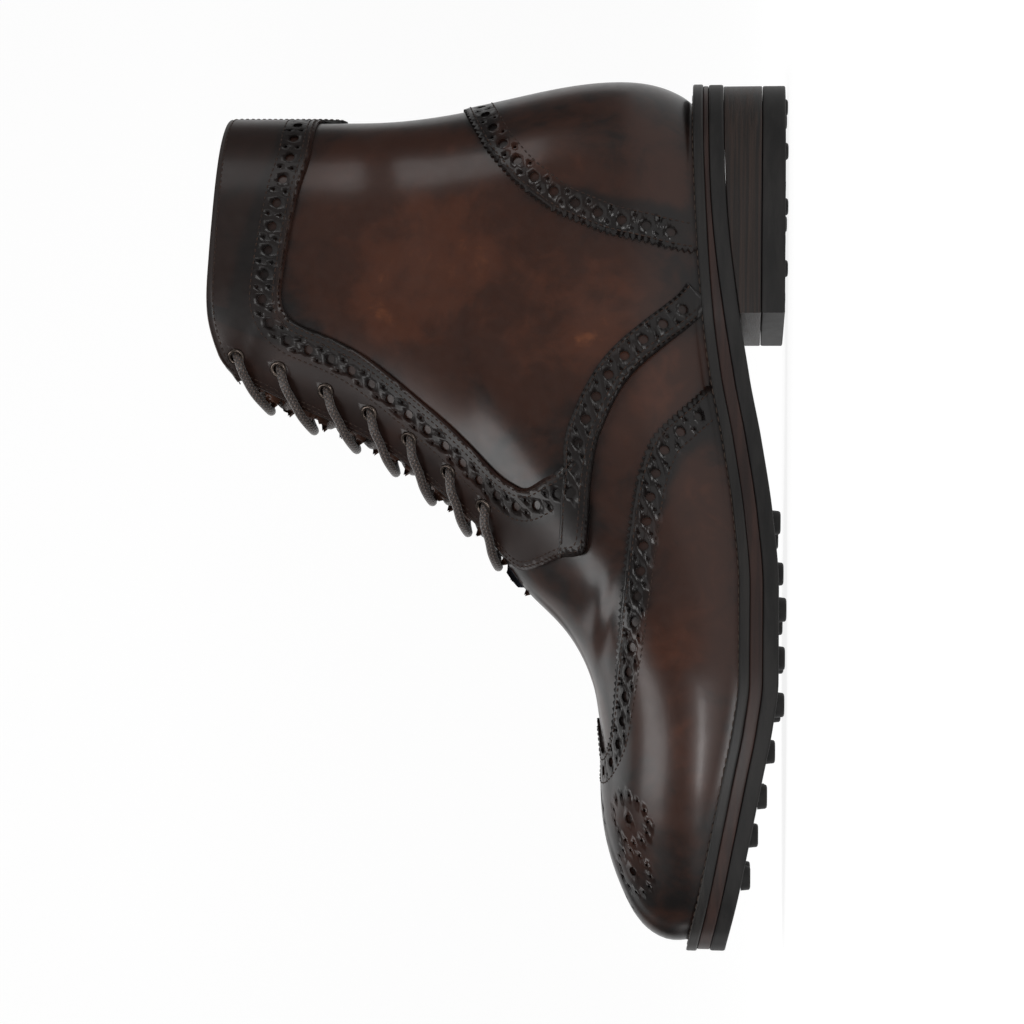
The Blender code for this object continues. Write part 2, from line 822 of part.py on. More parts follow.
def build_sole():
    welt_colour = material("welt", (0.018, 0.015, 0.014), 0.5)
    midsole_colour = material("midsole", (0.045, 0.018, 0.012), 0.5)
    rubber = material("rubber", (0.016, 0.015, 0.015), 0.6)
    stack = material("heel stack", (0.028, 0.018, 0.014), 0.5)
    full = sole_outline(0.0, WELT_SAMPLES)
    inside = inner_outline(UPPER_WALL + WELT_UNDER_WALL, WELT_SAMPLES)
    ring("welt", full, inside, welt_top, lambda u: welt_top(u) - WELT_THICKNESS, welt_colour)
    middle = sole_outline(-MIDSOLE_INSET, OUTLINE_SAMPLES)
    slab("midsole", middle, midsole_top, midsole_bottom, midsole_colour)
    lower = sole_outline(-OUTSOLE_INSET, OUTLINE_SAMPLES)
    outsole = slab("outsole", lower, outsole_top, outsole_bottom, rubber)
    studs = []
    for forward, x in stud_places(OUTSOLE_STUDS, full):
        low = float(outsole_bottom(forward)) - STUD_HEIGHT
        studs.append(stud(forward, x, STUD_DIAMETER, low + STUD_HEIGHT + STUD_SINK, low))
    joined(outsole, studs)
    heel = sole_outline(-HEEL_INSET, OUTLINE_SAMPLES)
    lift_top = TOP_LIFT_STUD_HEIGHT + TOP_LIFT_THICKNESS
    slab(
        "heel_stack",
        heel,
        lambda u: outsole_bottom(u) - CLEARANCE,
        lambda u: lift_top + CLEARANCE,
        stack,
        HEEL_STATIONS,
        HEEL_BREAST,
    )
    lift = slab(
        "top_lift",
        heel,
        lambda u: lift_top,
        lambda u: TOP_LIFT_STUD_HEIGHT,
        rubber,
        HEEL_STATIONS,
        HEEL_BREAST,
    )
    studs = []
    for forward, x in stud_places(TOP_LIFT_STUDS, full):
        studs.append(stud(forward, x, TOP_LIFT_STUD_DIAMETER, TOP_LIFT_STUD_HEIGHT + STUD_SINK, 0.0))
    joined(lift, studs)
    lining = material("insole leather", (0.012, 0.012, 0.016), 0.6)
    inset = UPPER_WALL + INSOLE_MARGIN
    slab(
        "insole",
        inner_outline(inset, OUTLINE_SAMPLES),
        lambda u: midsole_top(u) + CLEARANCE + INSOLE_THICKNESS,
        lambda u: midsole_top(u) + CLEARANCE,
        lining,
    )


def build_upper():
    brown = material("vamp leather", (0.060, 0.022, 0.014), 0.35)
    dark = material("overlay leather", (0.035, 0.014, 0.010), 0.35)
    tan = material("quarter leather", (0.085, 0.032, 0.018), 0.35)
    inner = material("tongue leather", (0.070, 0.028, 0.018), 0.45)
    first = (CLEARANCE, CLEARANCE + OVERLAY_THICKNESS)
    second = (FACING_TOP - OVERLAY_THICKNESS, FACING_TOP)
    leather("upper", throat_level, 0.0, -UPPER_WALL, brown)

    def quarters(around, up):
        return np.maximum(quarter_level(around, up), slit_level(around, up))

    def facings(around, up):
        return np.maximum(facing_level(around, up), slit_level(around, up))

    leather("wing_cap", wing_level, first[1], first[0], dark)
    leather("quarters", quarters, first[1], first[0], tan)
    leather("facings_and_collar", facings, second[1], second[0], dark)
    leather("heel_counter", counter_level, second[1], second[0], dark)
    tongue_face = -UPPER_WALL - TONGUE_CLEARANCE
    leather("tongue", tongue_level, tongue_face, tongue_face - TONGUE_THICKNESS, inner)


def facet_spot(around, up, offset):
    """Point and unit normal of the flat-sided leather at two shares."""
    count = 2 * COLUMNS_ROUND
    row = min(int(up * ROWS_UP), ROWS_UP - 1)
    upward = up * ROWS_UP - row
    lower = GRID[0][row * count : (row + 1) * count]
    higher = GRID[0][(row + 1) * count : (row + 2) * count]
    bounds = lower + upward * (higher - lower)
    column = int(np.searchsorted(bounds, around)) - 1
    across = (around - bounds[column]) / (bounds[column + 1] - bounds[column])
    corners = [row * count + column, row * count + column + 1]
    corners += [corner + count for corner in corners]
    a, b, c, d = (GRID_POINTS[i] + offset * GRID_NORMALS[i] for i in corners)
    spot = (a + across * (b - a)) * (1 - upward) + (c + across * (d - c)) * upward
    normal = np.cross(d - a, b - c)
    normal = normal / np.linalg.norm(normal)
    return spot, normal * np.sign(normal @ GRID_NORMALS[corners[0]])


def eyelet_spots():
    """Shares (around, up) of the eyelets on both sides, from the bottom pair to the top one."""
    low, high = EYELET_SPAN
    for i in range(EYELETS_A_SIDE):
        up = low + (high - low) * i / (EYELETS_A_SIDE - 1)
        for side in (1, -1):
            yield i, side, around_at(THROAT_GAP / 2 + EYELET_FROM_EDGE, up, side), up


def build_eyelets():
    brass = material("eyelet metal", (0.10, 0.085, 0.075), 0.35, 0.9)
    section = (
        (EYELET_HOLE / 2, 0.0),
        (EYELET_OUTSIDE / 2, 0.0),
        (EYELET_OUTSIDE / 2 - EYELET_BEVEL * EYELET_THICKNESS, (1 - EYELET_BEVEL) * EYELET_THICKNESS),
        (EYELET_HOLE / 2 + EYELET_BEVEL * EYELET_THICKNESS, EYELET_THICKNESS),
    )
    turns = EYELET_SIDES
    for i, side, around, up in eyelet_spots():
        centre, normal = facet_spot(around, up, FACING_TOP + 2 * CLEARANCE)
        first = np.cross(normal, [1.0, 0.0, 0.0])
        first = first / np.linalg.norm(first)
        second = np.cross(normal, first)
        points, faces = [], []
        for k in range(turns):
            angle = 2 * math.pi * k / turns
            outward = math.cos(angle) * first + math.sin(angle) * second
            points += [centre + r * outward + h * normal for r, h in section]
        for k in range(turns):
            near, far = 4 * k, 4 * ((k + 1) % turns)
            faces += [(near + n, far + n, far + (n + 1) % 4, near + (n + 1) % 4) for n in range(4)]
        name = f"eyelet_{'medial' if side > 0 else 'lateral'}_{i + 1}"
        add_mesh(name, np.array(points), faces, brass, 50)


def tube(name, path, radius, surface, sides=LACE_SIDES):
    """A round tube with flat ends along a short path."""
    path = np.array(path)
    along = np.gradient(path, axis=0)
    along = along / np.linalg.norm(along, axis=1, keepdims=True)
    points, faces = [], []
    across = np.cross(along[0], [0.0, 0.3, 1.0])
    for spot, way in zip(path, along):
        across = across - way * (across @ way)
        across = across / np.linalg.norm(across)
        other = np.cross(way, across)
        for k in range(sides):
            angle = 2 * math.pi * k / sides
            points.append(spot + radius * (math.cos(angle) * across + math.sin(angle) * other))
    for i in range(len(path) - 1):
        near, far = sides * i, sides * (i + 1)
        faces += [(near + k, far + k, far + (k + 1) % sides, near + (k + 1) % sides) for k in range(sides)]
    last = sides * (len(path) - 1)
    faces += [tuple(range(sides)), tuple(range(last + sides - 1, last - 1, -1))]
    return add_mesh(name, np.array(points), faces, surface)


def over_throat(x, up, offset):
    """Point above the throat this far to the medial side of the middle plane."""
    side = 1 if x >= 0 else -1
    around = around_at(abs(x), up, side) if abs(x) > 1e-6 else 0.0
    return facet_spot(around, up, offset)[0]


def build_lace():
    """Seven bars over the throat, joined by the slanted runs below them."""
    cord = material("lace", (0.050, 0.028, 0.020), 0.6)
    radius = LACE_DIAMETER / 2
    low, high = EYELET_SPAN
    heights = [low + (high - low) * i / (EYELETS_A_SIDE - 1) for i in range(EYELETS_A_SIDE)]
    reach = THROAT_GAP / 2 + EYELET_FROM_EDGE - EYELET_OUTSIDE / 2 - 2 * CLEARANCE
    over = FACING_TOP + CLEARANCE + radius + LACE_LIFT
    shares = np.linspace(0, 1, LACE_POINTS)
    bars = []
    for up in heights:
        places = [reach * (2 * share - 1) for share in shares]
        bars.append(tube("lace", [over_throat(x, up, over) for x in places], radius, cord))
    runs = []
    for lower, higher in zip(heights, heights[1:]):
        path = []
        for share in shares:
            x = THROAT_GAP / 2 * LACE_RUN_SPREAD * (1 - 2 * share)
            dip = (LACE_DIP + radius) * math.sin(math.pi * share)
            path.append(over_throat(x, lower + (higher - lower) * share, over - dip))
        runs.append(tube("lace_run", path, radius, cord))
    for other in bars[1:] + runs:
        other.hide_render = True
        other.display_type = "WIRE"
    joined(bars[0], [other for pair in zip(runs, bars[1:]) for other in pair])


ORIGIN = np.zeros(3)
ORIGIN = frame_origin()
GRID = chart_grid()
GRID_POINTS = skin(GRID[0], GRID[1])
GRID_NORMALS = skin_normal(GRID[0], GRID[1])

clear_scene()
build_sole()
build_upper()
build_eyelets()
build_lace()
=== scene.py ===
"""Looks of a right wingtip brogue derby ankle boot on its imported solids.

Places on the upper are shares (around, up): around 0 at the front ridge to 1 at the back seam, negative on
the lateral side, and up 0 at the welt to 1 at the collar. Inside the functions x points to the medial side,
u runs forward from the back of the sole and z is up, in metres.
"""

import math

import bpy
import numpy as np
from mathutils import Matrix, Vector
from mathutils.geometry import delaunay_2d_cdt
from mathutils.kdtree import KDTree

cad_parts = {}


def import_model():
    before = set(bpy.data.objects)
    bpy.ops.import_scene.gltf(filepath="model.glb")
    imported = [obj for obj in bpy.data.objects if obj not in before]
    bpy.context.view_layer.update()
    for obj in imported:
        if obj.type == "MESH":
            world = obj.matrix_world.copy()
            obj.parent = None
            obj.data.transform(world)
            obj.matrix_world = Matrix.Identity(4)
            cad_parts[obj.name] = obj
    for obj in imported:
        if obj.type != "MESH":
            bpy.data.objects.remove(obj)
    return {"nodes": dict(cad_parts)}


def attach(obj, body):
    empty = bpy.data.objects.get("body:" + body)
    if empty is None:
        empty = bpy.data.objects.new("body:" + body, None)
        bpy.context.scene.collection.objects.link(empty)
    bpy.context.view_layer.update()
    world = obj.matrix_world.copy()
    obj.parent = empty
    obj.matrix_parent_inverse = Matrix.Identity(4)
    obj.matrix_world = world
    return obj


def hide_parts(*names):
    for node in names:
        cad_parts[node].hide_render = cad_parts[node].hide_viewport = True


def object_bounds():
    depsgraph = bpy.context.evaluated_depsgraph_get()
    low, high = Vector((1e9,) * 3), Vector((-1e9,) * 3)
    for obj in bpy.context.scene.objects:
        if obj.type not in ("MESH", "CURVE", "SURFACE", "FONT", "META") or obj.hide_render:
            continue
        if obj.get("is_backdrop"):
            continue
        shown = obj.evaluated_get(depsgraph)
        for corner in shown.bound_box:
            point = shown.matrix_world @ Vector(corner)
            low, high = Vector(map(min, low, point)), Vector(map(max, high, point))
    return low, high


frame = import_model()
cad_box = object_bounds()

# Sole sizes
SOLE_LENGTH = 0.308
HEEL_SEAT_HEIGHT = 0.0338
TOE_SPRING = 0.0175
WELT_THICKNESS = 0.0035
MIDSOLE_THICKNESS = 0.0042
MIDSOLE_HEEL_SHARE = 0.40
OUTSOLE_THICKNESS = 0.0050
STUD_HEIGHT = 0.0027
STUD_DIAMETER = 0.0088
STUD_TIP_SHARE = 0.88
TOP_LIFT_THICKNESS = 0.0080
TOP_LIFT_STUD_HEIGHT = 0.0010
TOP_LIFT_STUD_DIAMETER = 0.0062
HEEL_BREAST = 0.0890
WELT_MARGIN = 0.0040
MIDSOLE_INSET = 0.0006
OUTSOLE_INSET = 0.0002
HEEL_INSET = 0.0008

# Last sizes
HEEL_WIDTH = 0.0580
BALL_WIDTH = 0.1020
COLLAR_WIDTH = 0.0510
COLLAR_RISE = 0.1675
FRONT_ROUNDING = 0.0400
SHAFT_ROUNDING = 0.0500
BACK_ROUNDING = 0.0360
FRONT_ROUNDING_POWER = 2.35
SHAFT_ROUNDING_POWER = 2.02
BACK_ROUNDING_POWER = 2.10
SHAFT_BEGINS = (0.35, 0.60)
FOOT_WIDTH_ENDS = (0.16, 0.60)

# Leather and clearances
UPPER_WALL = 0.0018
OVERLAY_THICKNESS = 0.0010
CLEARANCE = 0.0003
TONGUE_THICKNESS = 0.0018
TONGUE_CLEARANCE = 0.0006
THROAT_GAP = 0.0195
TONGUE_HALF_SHARE = 0.300
FACING_TOP = 2 * (CLEARANCE + OVERLAY_THICKNESS)

# Eyelets and lace
EYELETS_A_SIDE = 7
EYELET_SPAN = (0.590, 0.972)
EYELET_FROM_EDGE = 0.0072
EYELET_OUTSIDE = 0.0062
EYELET_HOLE = 0.0034
LACE_DIAMETER = 0.0032

# Feather line, where the upper meets the welt: shares of the heel rise and of the toe spring
FEATHER_ROWS = (
    # station, heel share, toe share
    (0.00, 1.000, 0.00),
    (0.10, 0.955, 0.00),
    (0.20, 0.870, 0.00),
    (0.29, 0.745, 0.00),
    (0.36, 0.580, 0.00),
    (0.43, 0.345, 0.00),
    (0.52, 0.110, 0.00),
    (0.60, 0.000, 0.00),
    (0.70, 0.000, 0.00),
    (0.75, 0.000, 0.10),
    (0.81, 0.000, 0.30),
    (0.88, 0.000, 0.54),
    (0.94, 0.000, 0.75),
    (1.00, 0.000, 1.00),
)

# Half widths at the feather line before the ends are rounded
WIDTH_ROWS = (
    # station, share of heel width, medial share of ball width, lateral share of ball width
    (0.02, 0.500, 0.000, 0.000),
    (0.15, 0.510, 0.000, 0.005),
    (0.22, 0.500, 0.000, 0.015),
    (0.29, 0.470, 0.000, 0.030),
    (0.38, 0.280, 0.100, 0.175),
    (0.46, 0.100, 0.220, 0.355),
    (0.54, 0.000, 0.328, 0.524),
    (0.60, 0.000, 0.366, 0.584),
    (0.65, 0.000, 0.387, 0.600),
    (0.70, 0.000, 0.398, 0.582),
    (0.75, 0.000, 0.392, 0.540),
    (0.80, 0.000, 0.370, 0.491),
    (0.85, 0.000, 0.332, 0.432),
    (0.90, 0.000, 0.292, 0.376),
    (0.94, 0.000, 0.270, 0.350),
    (1.00, 0.000, 0.252, 0.330),
)

# How far the sides swell past the feather line, and at what height
SWELL_ROWS = (
    # station, height as a share of the collar rise, medial share of ball width, lateral share
    (0.00, 0.17, 0.030, 0.030),
    (0.20, 0.17, 0.030, 0.032),
    (0.40, 0.18, 0.065, 0.040),
    (0.52, 0.15, 0.045, 0.022),
    (0.65, 0.08, 0.016, 0.014),
    (0.85, 0.07, 0.014, 0.014),
    (1.00, 0.06, 0.010, 0.010),
)

# Ridge from the toe tip over the vamp and up the throat
RIDGE_ROWS = (
    # forward share of sole length, rise share of collar rise
    (0.9820, 0.000),
    (0.9835, 0.030),
    (0.9780, 0.066),
    (0.9640, 0.104),
    (0.9390, 0.143),
    (0.9000, 0.187),
    (0.8450, 0.229),
    (0.7730, 0.262),
    (0.7340, 0.284),
    (0.6850, 0.314),
    (0.6350, 0.372),
    (0.5850, 0.462),
    (0.5550, 0.497),
    (0.4980, 0.594),
    (0.4370, 0.725),
    (0.3850, 0.916),
    (0.3600, 1.000),
)

# Back seam from the heel seat to the collar
BACK_ROWS = (
    # forward share of sole length, rise share of collar rise
    (0.0345, 0.000),
    (0.0195, 0.045),
    (0.0095, 0.105),
    (0.0075, 0.170),
    (0.0105, 0.240),
    (0.0185, 0.325),
    (0.0305, 0.430),
    (0.0420, 0.550),
    (0.0470, 0.640),
    (0.0480, 0.800),
    (0.0465, 1.000),
)

# Collar edge above the straight line from front to back
COLLAR_ROWS = (
    # share of the way from front to back, rise share of collar rise
    (0.00, 0.000),
    (0.10, 0.036),
    (0.24, 0.048),
    (0.45, 0.036),
    (0.75, 0.014),
    (1.00, 0.000),
)

# Half width of the shaft
SHAFT_ROWS = (
    # share of the way up, share of collar width
    (0.00, 0.660),
    (0.30, 0.620),
    (0.40, 0.575),
    (0.55, 0.540),
    (0.70, 0.510),
    (0.85, 0.500),
    (1.00, 0.500),
)

# Seams as shares of the way round and of the way up; the wing seam's last row is under the welt
WING_ROWS = (
    # around, up
    (0.000, 0.330),
    (0.035, 0.302),
    (0.110, 0.258),
    (0.175, 0.224),
    (0.215, 0.212),
    (0.275, 0.219),
    (0.340, 0.231),
    (0.405, 0.211),
    (0.452, 0.192),
    (0.513, 0.142),
    (0.555, 0.076),
    (0.597, 0.000),
    (0.640, -0.078),
)

QUARTER_ROWS = (
    # around, up
    (0.000, 0.572),
    (0.060, 0.562),
    (0.137, 0.522),
    (0.188, 0.486),
    (0.243, 0.442),
    (0.313, 0.370),
    (0.355, 0.360),
    (0.397, 0.344),
    (0.460, 0.305),
    (0.492, 0.268),
    (0.553, 0.182),
    (0.603, 0.090),
    (0.652, 0.000),
)

COUNTER_ROWS = (
    # up, around
    (0.000, 0.708),
    (0.096, 0.693),
    (0.204, 0.685),
    (0.306, 0.690),
    (0.392, 0.718),
    (0.450, 0.775),
    (0.485, 0.880),
    (0.500, 1.000),
)

COLLAR_BAND_ROWS = (
    # around, up
    (0.30, 0.900),
    (0.38, 0.896),
    (0.52, 0.878),
    (0.64, 0.854),
    (0.77, 0.822),
    (1.00, 0.806),
)

EYESTAY_ROWS = (
    # up, around
    (0.36, 0.440),
    (0.42, 0.380),
    (0.46, 0.345),
    (0.51, 0.307),
    (0.57, 0.302),
    (0.67, 0.327),
    (0.79, 0.362),
    (0.90, 0.375),
    (1.00, 0.380),
)

# Margin of the welt past the feather line
MARGIN_ROWS = (
    # around, share of the welt margin
    (0.00, 1.37),
    (0.10, 1.15),
    (0.30, 1.00),
    (0.70, 1.10),
    (0.85, 1.75),
    (1.00, 2.62),
)

# Studs under the outsole and the top lift
OUTSOLE_STUDS = (
    # station, places across as shares from the lateral edge to the medial edge
    (0.520, (0.20, 0.80)),
    (0.570, (0.50,)),
    (0.620, (0.13, 0.87)),
    (0.670, (0.36, 0.64)),
    (0.725, (0.12, 0.88)),
    (0.775, (0.50,)),
    (0.825, (0.14, 0.86)),
    (0.870, (0.50,)),
    (0.915, (0.21, 0.79)),
)

TOP_LIFT_STUDS = (
    # station, places across
    (0.035, (0.30, 0.70)),
    (0.100, (0.13, 0.87)),
    (0.165, (0.12, 0.50, 0.88)),
    (0.235, (0.12, 0.88)),
)

# Mesh fineness of the curved leather
RIDGE_SAMPLES = 400


def curve_through(rows, column, at):
    """A smooth curve through one column of a table, without overshoot."""
    table = np.array(rows, float)
    x, y = table[:, 0], table[:, column]
    at = np.clip(np.asarray(at, float), x[0], x[-1])
    gap = np.diff(x)
    slope = np.diff(y) / gap
    tangent = np.concatenate([slope[:1], np.zeros(len(x) - 2), slope[-1:]])
    before, after = slope[:-1], slope[1:]
    same_way = before * after > 0
    tangent[1:-1] = np.where(same_way, 2 * before * after / np.where(same_way, before + after, 1), 0)
    i = np.clip(np.searchsorted(x, at, side="right") - 1, 0, len(gap) - 1)
    s = (at - x[i]) / gap[i]
    rise = y[i] * (1 + 2 * s) * (1 - s) ** 2 + y[i + 1] * s * s * (3 - 2 * s)
    return rise + gap[i] * s * (1 - s) * (tangent[i] * (1 - s) - tangent[i + 1] * s)


def ease(value, low, high):
    """A smooth step from 0 at low to 1 at high."""
    s = np.clip((np.asarray(value, float) - low) / (high - low), 0, 1)
    return s * s * (3 - 2 * s)


def rounded(distance, reach, power):
    """Share of the full half width this far in from an edge that rounds over within the reach."""
    s = np.clip(distance / reach, 0, 1)
    return (1 - (1 - s) ** power) ** (1 / power)


BALL_SEAT_HEIGHT = STUD_HEIGHT + OUTSOLE_THICKNESS + MIDSOLE_THICKNESS + WELT_THICKNESS + 2 * CLEARANCE


def feather_height(forward):
    """Height of the welt's top face."""
    station = np.asarray(forward, float) / SOLE_LENGTH
    heel = (HEEL_SEAT_HEIGHT - BALL_SEAT_HEIGHT) * curve_through(FEATHER_ROWS, 1, station)
    toe = TOE_SPRING * curve_through(FEATHER_ROWS, 2, station)
    return BALL_SEAT_HEIGHT + CLEARANCE + heel + toe


def profile(rows, samples):
    """Points (forward, up) along a ridge or seam, evenly spaced, with a smooth curve through its rows."""
    table = np.array(rows, float)
    points = np.column_stack([table[:, 0] * SOLE_LENGTH, table[:, 1] * COLLAR_RISE])
    along = np.concatenate([[0], np.cumsum(np.linalg.norm(np.diff(points, axis=0), axis=1))])
    fine = np.linspace(0, along[-1], 8 * samples)
    smooth = [spline(along, points[:, k], fine) for k in (0, 1)]
    smooth = np.column_stack([smooth[0], feather_height(smooth[0]) + smooth[1]])
    length = np.concatenate([[0], np.cumsum(np.linalg.norm(np.diff(smooth, axis=0), axis=1))])
    even = np.linspace(0, length[-1], samples)
    return np.column_stack([np.interp(even, length, smooth[:, k]) for k in (0, 1)])


def spline(x, y, at):
    """A natural cubic spline, for outlines whose bends stay round between few rows."""
    n = len(x)
    gap = np.diff(x)
    system = np.eye(n)
    right = np.zeros(n)
    for i in range(1, n - 1):
        system[i, i - 1 : i + 2] = gap[i - 1], 2 * (gap[i - 1] + gap[i]), gap[i]
        right[i] = 6 * ((y[i + 1] - y[i]) / gap[i] - (y[i] - y[i - 1]) / gap[i - 1])
    bend = np.linalg.solve(system, right)
    i = np.clip(np.searchsorted(x, at, side="right") - 1, 0, n - 2)
    left, rest = at - x[i], x[i + 1] - at
    near = bend[i] * rest**3 / (6 * gap[i]) + bend[i + 1] * left**3 / (6 * gap[i])
    near_share = (y[i] / gap[i] - bend[i] * gap[i] / 6) * rest
    far = near_share + (y[i + 1] / gap[i] - bend[i + 1] * gap[i] / 6) * left
    return near + far


RIDGE = profile(RIDGE_ROWS, RIDGE_SAMPLES)
BACK = profile(BACK_ROWS, RIDGE_SAMPLES)
SHARES = np.linspace(0, 1, RIDGE_SAMPLES)


def on_profile(line, share):
    """Side view position on a profile line at a share of it."""
    return np.stack([np.interp(share, SHARES, line[:, k]) for k in (0, 1)], axis=-1)


def side_point(around, up):
    """Side view position (forward, up) of the surface at two shares, 0 to 1 each."""
    around, up = np.broadcast_arrays(np.abs(np.asarray(around, float)), np.asarray(up, float))
    across = ((1 - np.cos(math.pi * around)) / 2)[..., None]
    up = up[..., None]
    low = on_profile(RIDGE, 0.0) * (1 - across) + on_profile(BACK, 0.0) * across
    feather_sag = feather_height(low[..., 0]) - low[..., 1]
    collar_bow = COLLAR_RISE * curve_through(COLLAR_ROWS, 1, across[..., 0])
    point = on_profile(RIDGE, up[..., 0]) * (1 - across) + on_profile(BACK, up[..., 0]) * across
    lift = feather_sag * (1 - up[..., 0]) ** 2 + collar_bow * up[..., 0] ** 4
    return point + np.stack([0 * lift, lift], axis=-1)


def ridge_distance(point):
    """Distance in side view to the ridge, smoothed where two stretches of it are equally near."""
    flat = point.reshape(-1, 2)
    step = np.linalg.norm(RIDGE[1] - RIDGE[0])
    power = 5.0
    straight = math.sqrt(math.pi) * math.gamma((power - 1) / 2) / math.gamma(power / 2)
    found = np.empty(len(flat))
    for start in range(0, len(flat), 4000):
        part = flat[start : start + 4000]
        gap = np.hypot(part[:, None, 0] - RIDGE[None, :, 0], part[:, None, 1] - RIDGE[None, :, 1])
        least = gap.min(axis=1)
        soft = ((np.maximum(gap, 1e-6) ** -power).sum(axis=1) * step / straight) ** (1 / (1 - power))
        share = ease(least, 3 * step, 9 * step)
        found[start : start + 4000] = least * (1 - share) + np.minimum(soft, 1.2 * least) * share
    return found.reshape(point.shape[:-1])


def half_width(around, up, medial):
    """Distance of the surface from the middle plane."""
    point = side_point(around, up)
    forward, height = point[..., 0], point[..., 1]
    station = forward / SOLE_LENGTH
    rise = (height - feather_height(forward)) / COLLAR_RISE
    side = 2 if medial else 3
    low = HEEL_WIDTH * curve_through(WIDTH_ROWS, 1, station) + BALL_WIDTH * curve_through(
        WIDTH_ROWS, side, station
    )
    high = COLLAR_WIDTH * curve_through(SHAFT_ROWS, 1, up)
    full = low + (high - low) * ease(rise, *FOOT_WIDTH_ENDS)
    swell_at = curve_through(SWELL_ROWS, 1, station)
    swell = BALL_WIDTH * curve_through(SWELL_ROWS, side, station)
    share = np.maximum(rise, 0) / swell_at
    full = full + swell * share * np.exp(1 - share)
    shaft = ease(up, *SHAFT_BEGINS)
    reach = FRONT_ROUNDING + (SHAFT_ROUNDING - FRONT_ROUNDING) * shaft
    power = FRONT_ROUNDING_POWER + (SHAFT_ROUNDING_POWER - FRONT_ROUNDING_POWER) * shaft
    back = forward - np.interp(np.broadcast_to(up, forward.shape), SHARES, BACK[:, 0])
    front = ridge_distance(point)
    heel = rounded(np.maximum(back, 0), BACK_ROUNDING, BACK_ROUNDING_POWER)
    return full * rounded(front, reach, power) * heel


def skin(around, up):
    """Point (x, u, z) of the upper's face; around runs from -1 to 1, negative on the lateral side."""
    around, up = np.broadcast_arrays(np.asarray(around, float), np.asarray(up, float))
    side = side_point(around, up)
    medial = half_width(around, up, True)
    lateral = half_width(around, up, False)
    x = np.where(around >= 0, medial, -lateral)
    x = np.where((np.abs(around) < 1e-9) | (np.abs(around) > 1 - 1e-9), 0.0, x)
    return np.concatenate([x[..., None], side], axis=-1)


def sole_outline(grow, samples):
    """Closed outline (x, u) of the sole in plan, from the heel round the lateral side and back."""
    around = np.linspace(-1, 1, samples)[:-1]
    line = skin(around, 0.0)[:, :2]
    return [tuple(p) for p in line + plan_normals(line) * (welt_margin(around) + grow)[:, None]]


def welt_margin(around):
    return WELT_MARGIN * curve_through(MARGIN_ROWS, 1, np.abs(around))


def plan_normals(line):
    along = np.roll(line, -1, axis=0) - np.roll(line, 1, axis=0)
    normal = np.column_stack([-along[:, 1], along[:, 0]])
    normal = normal / np.linalg.norm(normal, axis=1, keepdims=True)
    outward = np.sign((normal * (line - line.mean(axis=0))).sum(axis=1).mean())
    return normal * outward


def inner_outline(inset, samples):
    """The feather line drawn in by an inset."""
    line = skin(np.linspace(-1, 1, samples)[:-1], 0.0)[:, :2]
    return [tuple(p) for p in line - plan_normals(line) * inset]


def edges_at(outline, forward):
    """Lateral and medial x of an outline at stations along it."""
    line = np.array(outline)
    back, front = line[:, 1].argmin(), line[:, 1].argmax()
    rolled = np.roll(line, -back, axis=0)
    split = (front - back) % len(line)
    one, other = rolled[: split + 1], np.vstack([rolled[split:], rolled[:1]])[::-1]
    widths = [np.interp(forward, side[:, 1], side[:, 0]) for side in (one, other)]
    return np.minimum(*widths), np.maximum(*widths)


def welt_top(forward):
    return feather_height(forward) - CLEARANCE


def midsole_top(forward):
    return welt_top(forward) - WELT_THICKNESS - CLEARANCE


def midsole_bottom(forward):
    share = ease(forward, 0.15 * SOLE_LENGTH, 0.36 * SOLE_LENGTH)
    return midsole_top(forward) - MIDSOLE_THICKNESS * (MIDSOLE_HEEL_SHARE + (1 - MIDSOLE_HEEL_SHARE) * share)


def outsole_top(forward):
    return midsole_bottom(forward) - CLEARANCE


def outsole_bottom(forward):
    return outsole_top(forward) - OUTSOLE_THICKNESS


# A fine chart of the upper's face, so that every later lookup is quick

CHART_STEPS = 320


def round_ridge(half):
    """Half widths near the vamp's ridge by the root of the share round, as its flat top gives no reading."""
    count = 20
    column = np.arange(CHART_STEPS + 1)
    level = half[:, count : count + 8].mean(axis=1)
    for _ in range(8):
        level[1:-1] = (level[:-2] + 2 * level[1:-1] + level[2:]) / 4
    root = level[:, None] * np.sqrt(column / (count + 3.5))
    share = (1 - ease(column / CHART_STEPS, 0.056, 0.094)) * (
        1 - ease(column[:, None] / CHART_STEPS, 0.48, 0.54)
    )
    return half * (1 - share) + root * share


def fine_chart():
    """Points and outward normals on a fine grid over (up, around), around from -1 to 1."""
    across, rows = np.meshgrid(np.linspace(0, 1, CHART_STEPS + 1), np.linspace(0, 1, CHART_STEPS + 1))
    side = side_point(across, rows)
    inner = round_ridge(half_width(across, rows, True))
    outer = round_ridge(half_width(across, rows, False))
    inner[:, [0, -1]] = 0
    outer[:, [0, -1]] = 0
    left = np.concatenate([-outer[..., None], side], axis=-1)[:, :0:-1]
    points = np.concatenate([left, np.concatenate([inner[..., None], side], axis=-1)], axis=1)
    reach = 3
    ring = points[:, :-1]
    round_way = np.roll(ring, -reach, axis=1) - np.roll(ring, reach, axis=1)
    round_way = np.concatenate([round_way, round_way[:, :1]], axis=1)
    row = np.arange(CHART_STEPS + 1)
    up_way = points[np.minimum(row + reach, CHART_STEPS)] - points[np.maximum(row - reach, 0)]
    normals = unit(np.cross(up_way, round_way))
    low = np.clip(1 - np.linspace(0, 1, CHART_STEPS + 1) / 0.04, 0, 1)[:, None, None]
    level = unit(normals * np.array([1.0, 1.0, 0.0]))
    return points, unit(normals * (1 - low) + level * low)


def unit(vectors):
    """The same vectors at length 1."""
    return vectors / np.maximum(np.linalg.norm(vectors, axis=-1, keepdims=True), 1e-12)


